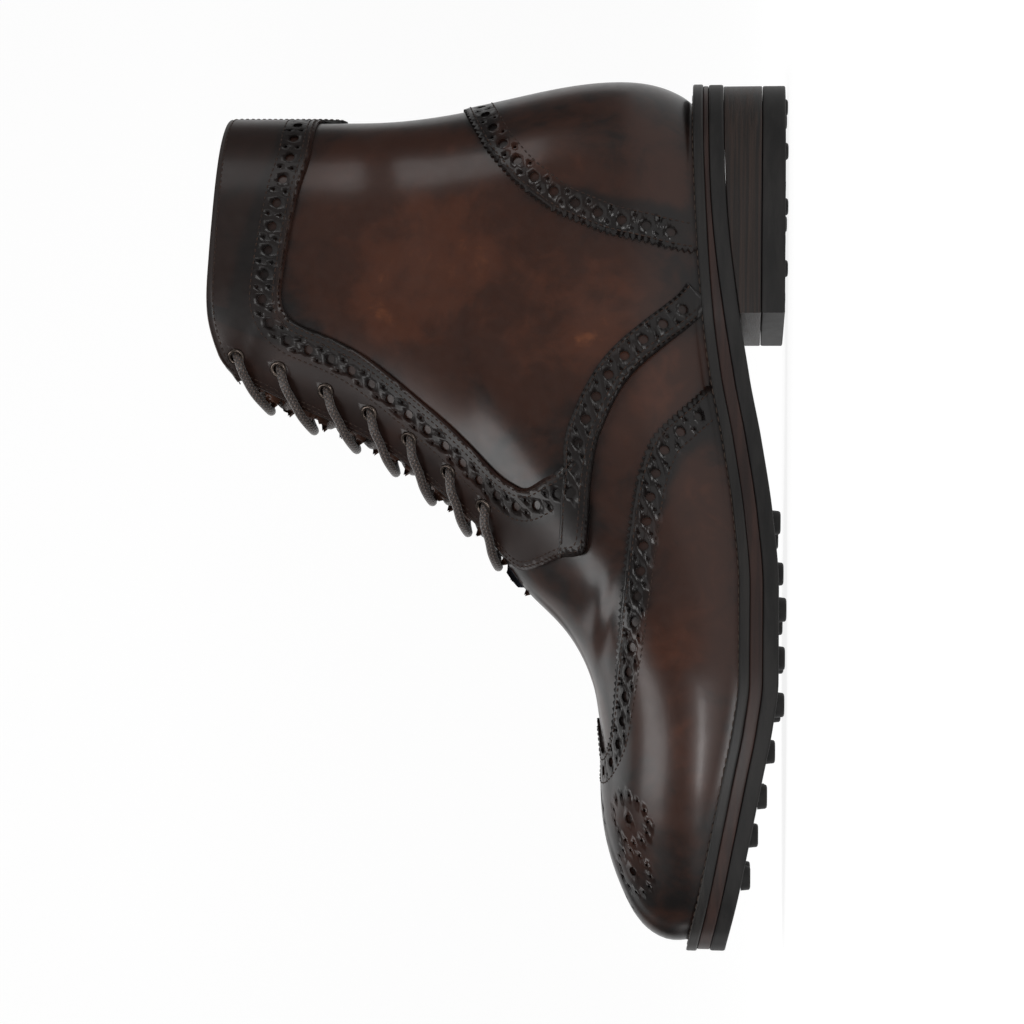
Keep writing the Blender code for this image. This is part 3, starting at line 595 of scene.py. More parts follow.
CHART, CHART_NORMALS = fine_chart()


def look_up(around, up):
    """Point and normal of the face; around may run past the back seam, and up may go below the feather."""
    around, up = np.broadcast_arrays(np.asarray(around, float), np.asarray(up, float))
    wrapped = (around + 1) % 2
    column = wrapped * CHART_STEPS
    row = np.clip(up, 0, 1) * CHART_STEPS
    j = np.minimum(column.astype(int), 2 * CHART_STEPS - 1)
    i = np.minimum(row.astype(int), CHART_STEPS - 1)
    s = (column - j)[..., None]
    t = (row - i)[..., None]
    found = []
    for grid in (CHART, CHART_NORMALS):
        low = grid[i, j] * (1 - s) + grid[i, j + 1] * s
        high = grid[i + 1, j] * (1 - s) + grid[i + 1, j + 1] * s
        found.append(low * (1 - t) + high * t)
    below = np.minimum(up, 0)[..., None] * np.array([0.0, 0.0, 0.18])
    above = np.maximum(up - 1, 0)[..., None] * np.array([0.0, 0.0, 0.18])
    return found[0] + below + above, unit(found[1])


def relief(around, up):
    """Soft troughs and ridges where the leather gives: the vamp's bend, the ankle and the shaft."""
    side = np.abs((np.asarray(around, float) + 1) % 2 - 1)
    up = np.asarray(up, float)
    total = np.zeros(np.broadcast(side, up).shape)
    for a, u, long, wide, tilt, depth in CREASES:
        da = (side - a) * math.cos(tilt) + (up - u) * math.sin(tilt)
        du = (up - u) * math.cos(tilt) - (side - a) * math.sin(tilt)
        total = total + depth * np.exp(-((da / long) ** 2) - (du / wide) ** 2)
    return total


CREASES = (
    # around, up, length, width, tilt, depth in metres
    (0.20, 0.395, 0.13, 0.020, -0.55, -0.00035),
    (0.22, 0.350, 0.14, 0.022, -0.50, 0.00028),
    (0.24, 0.305, 0.12, 0.020, -0.42, -0.00028),
    (0.44, 0.560, 0.16, 0.045, -0.45, -0.00060),
    (0.50, 0.650, 0.15, 0.050, -0.40, 0.00055),
    (0.56, 0.560, 0.13, 0.040, -0.30, -0.00045),
    (0.70, 0.640, 0.13, 0.050, 0.20, -0.00050),
    (0.62, 0.740, 0.15, 0.045, -0.10, 0.00045),
    (0.80, 0.720, 0.10, 0.045, 0.25, 0.00040),
)


def on_upper(around, up, offset=0.0):
    """Point on the upper, this far out from its face."""
    point, normal = look_up(around, up)
    lift = np.asarray(offset, float) + relief(around, up)
    return point + normal * lift[..., None]


def shading(around, up, offset=0.0):
    """Normal of the creased face."""
    e = 0.004
    a = on_upper(around + e, up, offset) - on_upper(around - e, up, offset)
    u = on_upper(around, up + e, offset) - on_upper(around, up - e, offset)
    found = unit(np.cross(u, a))
    smooth = look_up(around, up)[1]
    keep = ((found * smooth).sum(axis=-1) > 0.6) & (np.asarray(up) > 0.01) & (np.asarray(up) < 0.99)
    return np.where(keep[..., None], found, smooth)


def chart_tree():
    """A search tree over the fine chart's places."""
    flat = CHART[:, :-1].reshape(-1, 3)
    tree = KDTree(len(flat))
    for index, point in enumerate(flat.tolist()):
        tree.insert(point, index)
    tree.balance()
    return tree


CHART_TREE = chart_tree()


def slide(chart, vectors):
    """Moves chart places by vectors in metres: the nearest place on the face, then a few guarded steps."""
    target = look_up(chart[:, 0], chart[:, 1])[0] + vectors
    nearest = np.array([CHART_TREE.find(point)[1] for point in target.tolist()])
    row, column = np.divmod(nearest, 2 * CHART_STEPS)
    found = np.column_stack([column / CHART_STEPS - 1, row / CHART_STEPS])
    e = 0.002
    for _ in range(4):
        a, u = found[:, 0], found[:, 1]
        left = target - look_up(a, u)[0]
        along_a = (look_up(a + e, u)[0] - look_up(a - e, u)[0]) / (2 * e)
        along_u = (look_up(a, u + e)[0] - look_up(a, u - e)[0]) / (2 * e)
        aa, uu = (along_a**2).sum(axis=1), (along_u**2).sum(axis=1)
        damp = 0.002 * (aa + uu)
        aa, uu = aa + damp, uu + damp
        au = (along_a * along_u).sum(axis=1)
        va, vu = (left * along_a).sum(axis=1), (left * along_u).sum(axis=1)
        det = aa * uu - au * au
        step = np.column_stack([(va * uu - vu * au) / det, (vu * aa - va * au) / det])
        found = found + np.clip(step, -0.006, 0.006)
    turns = np.round((chart[:, 0] - found[:, 0]) / 2) * 2
    return np.column_stack([found[:, 0] + turns, found[:, 1]])


def lengths(chart):
    """Running length along a chart line, in metres."""
    points = look_up(chart[:, 0], chart[:, 1])[0]
    return np.concatenate([[0], np.cumsum(np.linalg.norm(np.diff(points, axis=0), axis=1))])


def even(chart, step, start=0.0, end=0.0):
    """The same line with places an even step apart, trimmed at its ends."""
    chart = np.asarray(chart, float)
    run = lengths(chart)
    count = max(int(round((run[-1] - start - end) / step)), 1)
    at = np.linspace(start, run[-1] - end, count + 1)
    return np.column_stack([np.interp(at, run, chart[:, k]) for k in (0, 1)])


def crosswise(chart, reach=4):
    """Unit vectors on the surface, square to a line and to its left as seen from outside."""
    points, normals = look_up(chart[:, 0], chart[:, 1])
    count = len(points)
    reach = max(min(reach, (count - 1) // 2), 1)
    place = np.arange(count)
    along = unit(points[np.minimum(place + reach, count - 1)] - points[np.maximum(place - reach, 0)])
    return unit(np.cross(normals, along))


def beside(chart, distance, step=0.0008):
    """A line this far to the left of another one, along the surface, without the folds at sharp corners."""
    source = even(chart, step)
    way = crosswise(source)
    line = source
    steps = max(int(abs(distance) / 0.002) + 1, 1)
    for _ in range(steps):
        normals = look_up(line[:, 0], line[:, 1])[1]
        flat = unit(way - normals * (way * normals).sum(axis=1, keepdims=True))
        line = slide(line, flat * distance / steps)
    points = look_up(line[:, 0], line[:, 1])[0]
    origin = look_up(source[:, 0], source[:, 1])[0]
    near = np.array([np.linalg.norm(origin - point, axis=1).min() for point in points])
    ahead = unit(np.gradient(origin, axis=0))
    forward = (np.gradient(points, axis=0) * ahead).sum(axis=1) > 0
    line = line[(near > abs(distance) * 0.93) & forward]
    line = even(line, step)
    for _ in range(4):
        line[1:-1] = (line[:-2] + 2 * line[1:-1] + line[2:]) / 4
    return even(line, step)


def pinked(chart, pitch=0.0023, depth=0.0011):
    """A saw-toothed line round an even one."""
    line = even(chart, pitch / 2)
    way = crosswise(line, 2)
    sign = np.where(np.arange(len(line)) % 2 == 0, 1.0, -1.0)[:, None]
    return slide(line, way * sign * depth / 2)


def mirrored(chart):
    """The same line on the lateral side, run the other way."""
    return np.column_stack([-chart[::-1, 0], chart[::-1, 1]])


def rows_line(rows, swapped=False, samples=160):
    """A seam from its table, as places (around, up)."""
    table = np.array(rows, float)
    at = np.linspace(table[0, 0], table[-1, 0], samples)
    other = curve_through(rows, 1, at)
    return np.column_stack([other, at] if swapped else [at, other])


# Meshes


def world(points):
    """World coordinates of points given in the boot's own ones."""
    return (np.atleast_2d(points) - ORIGIN) * np.array([1.0, -1.0, 1.0])


def add_piece(name, points, faces, surface, normals=None, colours=None, node=None, flat=False):
    """One object from last coordinates. Faces are turned to agree with the given normals."""
    spots = world(points)
    faces = [tuple(int(i) for i in f) for f in faces]
    mesh = bpy.data.meshes.new(name)
    if normals is not None:
        turned = normals * np.array([1.0, -1.0, 1.0])
        three = np.array([f[:3] for f in faces])
        facing = np.cross(spots[three[:, 1]] - spots[three[:, 0]], spots[three[:, 2]] - spots[three[:, 0]])
        agree = (facing * turned[three].sum(axis=1)).sum(axis=1)
        faces = [f if ok >= 0 else f[::-1] for f, ok in zip(faces, agree)]
    else:
        faces = [f[::-1] for f in faces]
    mesh.from_pydata(spots.tolist(), [], faces)
    mesh.materials.append(surface)
    if not flat:
        mesh.shade_smooth()
    if normals is not None:
        mesh.normals_split_custom_set_from_vertices(unit(turned).tolist())
    if colours is not None:
        layer = mesh.color_attributes.new("tone", "FLOAT_COLOR", "POINT")
        values = np.ones((len(spots), 4), np.float32)
        values[:, : colours.shape[1]] = colours
        layer.data.foreach_set("color", values.ravel())
    made = bpy.data.objects.new(name, mesh)
    bpy.context.scene.collection.objects.link(made)
    settle(made, node)
    return made


def settle(made, node=None):
    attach(made, "root")
    if node:
        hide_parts(node)


def loop_edges(start, count):
    return [(start + k, start + (k + 1) % count) for k in range(count)]


def inside(outline, places):
    """Which places lie inside a closed outline."""
    x, y = places[:, 0], places[:, 1]
    odd = np.zeros(len(places), bool)
    for (x0, y0), (x1, y1) in zip(outline, np.roll(outline, -1, axis=0)):
        if y0 == y1:
            continue
        over = (y0 > y) != (y1 > y)
        odd ^= over & (x < (x1 - x0) * (y - y0) / (y1 - y0) + x0)
    return odd


def signed_area(outline):
    x, y = outline[:, 0], outline[:, 1]
    return 0.5 * float((x * np.roll(y, -1) - y * np.roll(x, -1)).sum())


def outward(loop):
    """Vectors on the surface that point out of the material, which lies to the left of the loop."""
    closed = np.vstack([loop[-1:], loop, loop[:1]])
    points, normals = look_up(closed[:, 0], closed[:, 1])
    along = unit(points[2:] - points[:-2])
    return -unit(np.cross(normals[1:-1], along))


def hole_loop(place, radius, sides):
    """A round hole's rim on the chart, run so that the material is on its left."""
    centre = np.array([place])
    normal = look_up(centre[:, 0], centre[:, 1])[1][0]
    first = unit(np.cross(normal, [0.31, 0.87, 0.4]))
    second = np.cross(normal, first)
    turn = np.linspace(0, 2 * math.pi, sides, endpoint=False)
    spokes = radius * (np.cos(turn)[:, None] * first + np.sin(turn)[:, None] * second)
    ring = slide(np.repeat(centre, sides, axis=0), spokes)
    return ring if signed_area(ring) < 0 else ring[::-1]


CHART_SCALE = np.array([250.0, 170.0])


def panel(
    name,
    outlines,
    holes,
    base,
    thick,
    surface,
    node=None,
    cell=(0.0062, 0.0085),
    tone=None,
    soft=0.00030,
):
    """A leather panel with rounded edges and real holes, cut on the chart and laid on the upper.

    outlines: closed loops of places; holes: (around, up, radius). base is the offset of its outer face.
    """
    places, drops, edges, walls = [], [], [], []
    keep_out = []

    def add_loop(loop, inset):
        inner = slide(loop, -outward(loop) * inset)
        for ring, drop in ((loop, 1.0), (inner, 0.0)):
            start = len(places)
            places.extend(ring.tolist())
            drops.extend([drop] * len(ring))
            edges.extend(loop_edges(start, len(ring)))
            keep_out.append(ring)
            if drop:
                walls.append((start, len(ring)))

    shapes = []
    for outline in outlines:
        outline = np.asarray(outline, float)
        outline = outline if signed_area(outline) > 0 else outline[::-1]
        shapes.append(outline)
        add_loop(outline, soft)
    hole_shapes = []
    for around, up, radius in holes:
        sides = 16 if radius > 0.001 else 9
        ring = hole_loop((around, up), radius, sides)
        hole_shapes.append(ring)
        add_loop(ring, soft * (0.9 if radius > 0.001 else 0.6))
    low = np.min([s.min(axis=0) for s in shapes], axis=0)
    high = np.max([s.max(axis=0) for s in shapes], axis=0)
    counts = [int((high[k] - low[k]) / cell[k]) + 1 for k in (0, 1)]
    lattice = np.stack(np.meshgrid(*[np.linspace(low[k], high[k], counts[k] + 1) for k in (0, 1)]), axis=-1)
    lattice = lattice.reshape(-1, 2)
    lattice[:, 0] += (np.round((lattice[:, 1] - low[1]) / cell[1]) % 2) * cell[0] / 2
    taken = np.vstack(keep_out)
    fine = 3
    marks = set()
    for dx in (-1, 0, 1):
        for dy in (-1, 0, 1):
            cells = np.round((taken - low) / cell * fine).astype(int) + [dx, dy]
            marks.update(map(tuple, cells))
    spots = np.round((lattice - low) / cell * fine).astype(int)
    free = np.array([tuple(s) not in marks for s in spots])
    lattice = lattice[free]
    within = np.zeros(len(lattice), bool)
    for shape in shapes:
        within |= inside(shape, lattice)
    for ring in hole_shapes:
        middle = ring.mean(axis=0)
        size = np.abs(ring - middle).max(axis=0) * 1.15
        within &= ((np.abs(lattice - middle) / size) ** 2).sum(axis=1) > 1
    places.extend(lattice[within].tolist())
    drops.extend([0.0] * int(within.sum()))
    flat = [Vector((x * CHART_SCALE[0], y * CHART_SCALE[1])) for x, y in places]
    done = delaunay_2d_cdt(flat, edges, [], 0, 1e-6, True)
    vertices, triangles, origin = done[0], done[2], done[3]
    chart = np.array([(v.x, v.y) for v in vertices]) / CHART_SCALE
    drop = np.array([max([drops[k] for k in origin[n]] or [0.0]) for n in range(len(vertices))])
    new_of = {}
    for n, sources in enumerate(origin):
        for k in sources:
            new_of[k] = n
    faces = np.array([tuple(t) for t in triangles])
    centres = chart[faces].mean(axis=1)
    good = np.zeros(len(faces), bool)
    for shape in shapes:
        good |= inside(shape, centres)
    start_of = len(shapes)
    for (start, count), ring in zip(walls[start_of:], hole_shapes):
        middle, size = ring.mean(axis=0), np.abs(ring - ring.mean(axis=0)).max(axis=0)
        near = (np.abs(centres - middle) < size).all(axis=1) & good
        if near.any():
            index = np.where(near)[0]
            good[index[inside(ring, centres[index])]] = False
    faces = faces[good]
    around, up = chart[:, 0], chart[:, 1]
    points = on_upper(around, up, base - drop * soft * 0.8)
    normals = shading(around, up)
    all_points, all_normals, all_faces = [points], [normals], [tuple(f) for f in faces]
    charts = [chart]
    count_now = len(points)
    for start, count in walls:
        loop = np.array([places[start + k] for k in range(count)])
        way = outward(loop)
        face_normal = look_up(loop[:, 0], loop[:, 1])[1]
        rim = [new_of[start + k] for k in range(count)]
        normals[rim] = unit(face_normal + way * 0.9)
        top = on_upper(loop[:, 0], loop[:, 1], base - soft * 0.8)
        bottom = on_upper(loop[:, 0], loop[:, 1], base - thick)
        all_points += [top, bottom]
        all_normals += [unit(way + 0.5 * face_normal), way]
        charts += [loop, loop]
        for k in range(count):
            n = (k + 1) % count
            all_faces.append((count_now + k, count_now + n, count_now + count + n, count_now + count + k))
        count_now += 2 * count
    points = np.vstack(all_points)
    chart = np.vstack(charts)
    colours = None if tone is None else tone(chart[:, 0], chart[:, 1], points)
    made = add_piece(name, points, all_faces, surface, np.vstack(all_normals), colours, node)
    return made
ORIGIN = np.append(
    (np.array(sole_outline(0.0, 241)).min(axis=0) + np.array(sole_outline(0.0, 241)).max(axis=0)) / 2, 0.0
)

# Materials


def new_material(name):
    """A material with its node tree and its main shader."""
    made = bpy.data.materials.new(name)
    made.use_nodes = True
    tree = made.node_tree
    shader = tree.nodes["Principled BSDF"]
    return made, tree, shader


def node(tree, kind, inputs=None, **settings):
    """Adds a node with these settings and input values."""
    made = tree.nodes.new(kind)
    for key, value in settings.items():
        setattr(made, key, value)
    for key, value in (inputs or {}).items():
        made.inputs[key].default_value = value
    return made


def ramp(tree, source, stops, socket="Fac"):
    """A colour ramp fed by a socket; stops are (place, colour)."""
    made = tree.nodes.new("ShaderNodeValToRGB")
    made.color_ramp.interpolation = "EASE"
    elements = made.color_ramp.elements
    while len(elements) < len(stops):
        elements.new(0.5)
    for element, (at, colour) in zip(elements, stops):
        element.position = at
        element.color = (*colour, 1) if len(colour) == 3 else colour
    tree.links.new(source, made.inputs[socket])
    return made


def noise(tree, scale, detail=4.0, rough=0.55, distortion=0.0, stretch=(1, 1, 1)):
    """Noise in the object's own coordinates."""
    where = tree.nodes.new("ShaderNodeTexCoord")
    mapping = node(tree, "ShaderNodeMapping")
    mapping.inputs["Scale"].default_value = stretch
    tree.links.new(where.outputs["Object"], mapping.inputs["Vector"])
    made = node(
        tree,
        "ShaderNodeTexNoise",
        {"Scale": scale, "Detail": detail, "Roughness": rough, "Distortion": distortion},
    )
    tree.links.new(mapping.outputs["Vector"], made.inputs["Vector"])
    return made


def bump_chain(tree, shader, layers):
    """Bumps stacked in turn: (height socket, distance in metres, strength)."""
    last = None
    for height, distance, strength in layers:
        bump = node(tree, "ShaderNodeBump", {"Distance": distance, "Strength": strength})
        tree.links.new(height, bump.inputs["Height"])
        if last:
            tree.links.new(last.outputs["Normal"], bump.inputs["Normal"])
        last = bump
    tree.links.new(last.outputs["Normal"], shader.inputs["Normal"])


def leather_surface(name, dark, mid, light, roughness=0.31, coat=0.10, grain=0.08):
    """Burnished calf: the painted tone sets how far the dark wax covers the brown, noise breaks it up. On the
    facings' edge and on the tongue that tone also holds a painted highlight and painted shade.
    """
    made, tree, shader = new_material(name)
    tone = node(tree, "ShaderNodeVertexColor", layer_name="tone")
    split = tree.nodes.new("ShaderNodeSeparateColor")
    tree.links.new(tone.outputs["Color"], split.inputs["Color"])
    clouds = noise(tree, 26.0, 5.0, 0.60, 0.6)
    blots = noise(tree, 75.0, 4.0, 0.55, 0.9)
    total = node(tree, "ShaderNodeMath", operation="MULTIPLY_ADD")
    tree.links.new(clouds.outputs["Fac"], total.inputs[0])
    total.inputs[1].default_value = 1.15
    total.inputs[2].default_value = -0.575
    wide = node(tree, "ShaderNodeMath", operation="MULTIPLY_ADD")
    tree.links.new(blots.outputs["Fac"], wide.inputs[0])
    wide.inputs[1].default_value = 0.55
    wide.inputs[2].default_value = -0.275
    both = node(tree, "ShaderNodeMath", operation="ADD")
    tree.links.new(total.outputs[0], both.inputs[0])
    tree.links.new(wide.outputs[0], both.inputs[1])
    spread = node(tree, "ShaderNodeMath", operation="MULTIPLY")
    tree.links.new(both.outputs[0], spread.inputs[0])
    tree.links.new(split.outputs["Green"], spread.inputs[1])
    level = node(tree, "ShaderNodeMath", operation="ADD", use_clamp=True)
    tree.links.new(split.outputs["Red"], level.inputs[0])
    tree.links.new(spread.outputs[0], level.inputs[1])
    colour = ramp(
        tree,
        level.outputs[0],
        ((0.0, dark), (0.35, tuple((a + b) / 2 for a, b in zip(dark, mid))), (0.62, mid), (1.0, light)),
    )
    tree.links.new(colour.outputs["Color"], shader.inputs["Base Color"])
    shader.inputs["Specular IOR Level"].default_value = 0.26
    shader.inputs["Coat Weight"].default_value = coat
    shader.inputs["Coat Roughness"].default_value = 0.16
    wear = noise(tree, 320.0, 3.0, 0.6)
    rough = node(tree, "ShaderNodeMapRange", {"To Min": roughness - 0.05, "To Max": roughness + 0.09})
    tree.links.new(wear.outputs["Fac"], rough.inputs["Value"])
    tree.links.new(rough.outputs["Result"], shader.inputs["Roughness"])
    where = tree.nodes.new("ShaderNodeTexCoord")
    cells = node(tree, "ShaderNodeTexVoronoi", {"Scale": 1500.0}, feature="DISTANCE_TO_EDGE")
    tree.links.new(where.outputs["Object"], cells.inputs["Vector"])
    pores = noise(tree, 2600.0, 2.0, 0.5)
    waves = noise(tree, 55.0, 3.0, 0.5, 0.4)
    bump_chain(
        tree,
        shader,
        (
            (waves.outputs["Fac"], 0.0006, 0.10),
            (cells.outputs["Distance"], 0.00006, grain),
            (pores.outputs["Fac"], 0.00004, grain),
        ),
    )
    return made


DARK = (0.0036, 0.0025, 0.0023)
MID = (0.042, 0.0135, 0.0068)
LIGHT = (0.190, 0.0620, 0.0225)

LEATHER = leather_surface("burnished leather", DARK, MID, LIGHT)
BAND = leather_surface(
    "band leather", (0.0030, 0.0021, 0.0019), (0.016, 0.0062, 0.0040), (0.070, 0.0240, 0.0110), 0.36, 0.05
)
TONGUE = leather_surface(
    "tongue leather", (0.008, 0.005, 0.004), (0.045, 0.018, 0.010), (0.14, 0.055, 0.026), 0.42, 0.10, 0.2
)


def plain_surface(
    name, colour, other, roughness, scale, stretch=(1, 1, 1), coat=0.0, bump=0.2, deep=0.0003, metallic=0.0
):
    """A surface of two close colours broken up by noise, with its relief."""
    made, tree, shader = new_material(name)
    cloud = noise(tree, scale, 5.0, 0.62, 0.2, stretch)
    found = ramp(tree, cloud.outputs["Fac"], ((0.30, colour), (0.72, other)))
    tree.links.new(found.outputs["Color"], shader.inputs["Base Color"])
    rough = node(tree, "ShaderNodeMapRange", {"To Min": roughness - 0.08, "To Max": roughness + 0.10})
    tree.links.new(cloud.outputs["Fac"], rough.inputs["Value"])
    tree.links.new(rough.outputs["Result"], shader.inputs["Roughness"])
    shader.inputs["Specular IOR Level"].default_value = 0.22
    shader.inputs["Coat Weight"].default_value = coat
    shader.inputs["Coat Roughness"].default_value = 0.25
    shader.inputs["Metallic"].default_value = metallic
    fine = noise(tree, scale * 9, 3.0, 0.6, 0.0, stretch)
    bump_chain(tree, shader, ((cloud.outputs["Fac"], deep, bump), (fine.outputs["Fac"], deep / 4, bump)))
    return made


LINING = plain_surface("lining leather", (0.0045, 0.0050, 0.0075), (0.010, 0.011, 0.016), 0.55, 60.0)
INSOLE = plain_surface("insole leather", (0.0050, 0.0052, 0.0070), (0.011, 0.011, 0.014), 0.50, 45.0)
WELT = plain_surface(
    "welt edge", (0.0040, 0.0036, 0.0035), (0.013, 0.0115, 0.0105), 0.48, 90.0, (1, 0.12, 3), 0.06, 0.35
)
MIDSOLE = plain_surface(
    "midsole edge", (0.0085, 0.0042, 0.0035), (0.026, 0.0115, 0.0085), 0.46, 80.0, (1, 0.10, 4), 0.06, 0.3
)
RUBBER = plain_surface(
    "sole rubber", (0.0045, 0.0042, 0.0041), (0.0115, 0.0105, 0.0100), 0.55, 140.0, (1, 0.3, 2), 0.0, 0.25
)
STACK = plain_surface(
    "heel lifts", (0.0045, 0.0036, 0.0033), (0.021, 0.0125, 0.0095), 0.50, 120.0, (1, 0.08, 9), 0.05, 0.6
)
THREAD = plain_surface("stitching", (0.0085, 0.0048, 0.0036), (0.030, 0.0145, 0.0090), 0.62, 900.0)
WELT_THREAD = plain_surface("welt stitching", (0.020, 0.014, 0.011), (0.055, 0.036, 0.026), 0.60, 900.0)
METAL = plain_surface(
    "eyelet metal",
    (0.030, 0.024, 0.021),
    (0.085, 0.068, 0.058),
    0.30,
    400.0,
    (1, 1, 1),
    0.0,
    0.15,
    0.0001,
    1.0,
)


def lace_surface():
    """Waxed round cord with pale flecks in a braid."""
    made, tree, shader = new_material("waxed lace")
    where = tree.nodes.new("ShaderNodeUVMap")
    where.uv_map = "braid"
    mapping = node(tree, "ShaderNodeMapping")
    mapping.inputs["Scale"].default_value = (1, 1, 1)
    tree.links.new(where.outputs["UV"], mapping.inputs["Vector"])
    first = node(
        tree,
        "ShaderNodeTexWave",
        {"Scale": 1.0, "Distortion": 0.0},
        wave_type="BANDS",
        bands_direction="DIAGONAL",
    )
    tree.links.new(mapping.outputs["Vector"], first.inputs["Vector"])
    flip = node(tree, "ShaderNodeMapping")
    flip.inputs["Scale"].default_value = (-1, 1, 1)
    tree.links.new(where.outputs["UV"], flip.inputs["Vector"])
    second = node(
        tree,
        "ShaderNodeTexWave",
        {"Scale": 1.0, "Distortion": 0.0},
        wave_type="BANDS",
        bands_direction="DIAGONAL",
    )
    tree.links.new(flip.outputs["Vector"], second.inputs["Vector"])
    product = node(tree, "ShaderNodeMath", operation="MULTIPLY")
    tree.links.new(first.outputs["Fac"], product.inputs[0])
    tree.links.new(second.outputs["Fac"], product.inputs[1])
    flecks = ramp(tree, product.outputs[0], ((0.40, (0.014, 0.0082, 0.0062)), (0.78, (0.072, 0.044, 0.031))))
    tree.links.new(flecks.outputs["Color"], shader.inputs["Base Color"])
    shader.inputs["Roughness"].default_value = 0.45
    shader.inputs["Sheen Weight"].default_value = 0.15
    bump_chain(tree, shader, ((product.outputs[0], 0.00022, 0.8),))
    return made


LACE = lace_surface()
# Layers of the upper, outer faces above the upper's own face

FIRST = CLEARANCE + OVERLAY_THICKNESS
SECOND = FACING_TOP
STRIP = FACING_TOP + 0.0003


def bell(value, centre, reach):
    """1 at the centre, falling off smoothly within a reach."""
    return np.exp(-(((value - centre) / reach) ** 2))


def patina(around, up, points):
    """Level of the brown (0 waxed black to 1 copper) and how patchy it is."""
    u, z = points[:, 1] * 1000, points[:, 2] * 1000
    side = np.abs((around + 1) % 2 - 1)
    level = 0.30 + 0.0 * u
    level = level + 0.34 * bell(u, 92, 46) * bell(z, 52, 26)
    level = level + 0.20 * bell(u, 78, 26) * bell(z, 132, 30)
    level = level + 0.16 * bell(u, 150, 34) * bell(z, 34, 16)
    level = level + 0.20 * bell(u, 232, 40) * bell(z, 34, 13)
    level = level - 0.30 * ease(u, 272, 300)
    level = level - 0.22 * bell(side, 1.0, 0.16)
    level = level - 0.20 * np.exp(-np.maximum(up, 0) / 0.035)
    level = level - 0.16 * bell(side, 0.0, 0.14) * (up < 0.55)
    return level, 0.9 + 0.0 * level


def edge_fade(distance, reach):
    """1 at an edge, down to 0 a reach away."""
    return np.exp(-np.maximum(distance, 0) / reach)


def vamp_tone(around, up, points):
    """Tone of the vamp, darker by the seams over it."""
    level, patch = patina(around, up, points)
    wing = (up - curve_through(WING_ROWS, 1, np.abs(around))) * COLLAR_RISE
    quarter = (curve_through(QUARTER_ROWS, 1, np.abs(around)) - up) * COLLAR_RISE
    level = level - 0.16 * edge_fade(wing, 0.005) - 0.20 * edge_fade(quarter, 0.006)
    return np.column_stack([np.clip(level, 0, 1), patch])


def wing_tone(around, up, points):
    """Tone of the wing cap, near black in its punched band."""
    level, patch = patina(around, up, points)
    seam = (curve_through(WING_ROWS, 1, np.abs(around)) - up) * COLLAR_RISE
    band = 1 - ease(seam, 0.0085, 0.0125)
    level = level * (1 - band) + 0.06 * band - 0.12 * (1 - band) * edge_fade(seam - 0.011, 0.007)
    return np.column_stack([np.clip(level, 0, 1), patch * (1 - 0.5 * band)])


def quarter_tone(around, up, points):
    """Tone of the quarters, darker by every seam."""
    side = np.abs((around + 1) % 2 - 1)
    level, patch = patina(around, up, points)
    stay = (side - curve_through(EYESTAY_ROWS, 1, up)) * 0.22
    collar = (curve_through(COLLAR_BAND_ROWS, 1, side) - up) * COLLAR_RISE
    front = (up - curve_through(QUARTER_ROWS, 1, side)) * COLLAR_RISE
    counter = (curve_through(COUNTER_ROWS, 1, up) - side) * 0.28
    over = (up - 0.47) * COLLAR_RISE
    heel = np.maximum(counter, over)
    near = edge_fade(stay, 0.009) + edge_fade(collar, 0.009) + edge_fade(front - 0.010, 0.010) + edge_fade(
        heel, 0.010
    )
    level = level + 0.10 - 0.26 * np.minimum(near, 1.3)
    return np.column_stack([np.clip(level, 0, 1), patch])


def band_tone(around, up, points):
    """Facings, collar, counter and strip: dark, at one level all over."""
    side = np.abs((around + 1) % 2 - 1)
    level = 0.10 + 0.0 * up
    return np.column_stack([level, 0.45 + 0.0 * side])


def facing_tone_and_edge_highlight(around, up, points):
    """Tone of the facings and the collar, with a painted highlight: a narrow lighter line along their edge.
    """
    side = np.abs((around + 1) % 2 - 1)
    stay = (curve_through(EYESTAY_ROWS, 1, up) - side) * 0.20
    collar = (up - curve_through(COLLAR_BAND_ROWS, 1, side)) * COLLAR_RISE
    deep = np.where(side < 0.36, stay, collar)
    plain = ease(deep, 0.011, 0.014)
    # painted highlight: the level is raised in a narrow line along the facings' edge, where the rolled edge
    # catches the light
    edge = bell(deep, 0.0, 0.0012)
    level = 0.08 + 0.26 * plain + 0.5 * edge
    return np.column_stack([np.clip(level, 0, 1), 0.4 + 0.4 * plain])


def counter_tone(around, up, points):
    """Tone of the heel counter."""
    side = np.abs((around + 1) % 2 - 1)
    front = (side - curve_through(COUNTER_ROWS, 1, up)) * 0.28
    top = (0.5 - up) * COLLAR_RISE
    deep = np.minimum(front, top)
    plain = ease(deep, 0.0095, 0.014)
    level, patch = patina(around, up, points)
    level = 0.07 * (1 - plain) + (level - 0.02) * plain
    return np.column_stack([np.clip(level, 0, 1), patch * (0.4 + 0.6 * plain)])


def around_at(half, up, side):
    """Share round, on one side, where the face is this far from the middle plane."""
    tries = np.linspace(0, 0.5, 401)
    x = np.abs(look_up(side * tries, np.full(401, up))[0][:, 0])
    return side * float(np.interp(half, x, tries))


# Seam lines on the medial side

WING = rows_line(WING_ROWS, samples=300)
WING = WING[WING[:, 1] > -0.02]
WING_SEAM = np.vstack([mirrored(WING)[:-1], WING])

UP_THROAT = np.linspace(0.5, 1.0, 60)
THROAT_EDGE = np.array([(around_at(THROAT_GAP / 2, up, 1), up) for up in UP_THROAT])

QUARTER_FRONT = rows_line(QUARTER_ROWS, samples=300)
QUARTER_FRONT = np.vstack([QUARTER_FRONT, [(0.6620, -0.02)]])


def smooth_line(line, step, passes):
    """An even line, smoothed a number of times."""
    line = even(line, step)
    for _ in range(passes):
        line[1:-1] = (line[:-2] + 2 * line[1:-1] + line[2:]) / 4
    return line


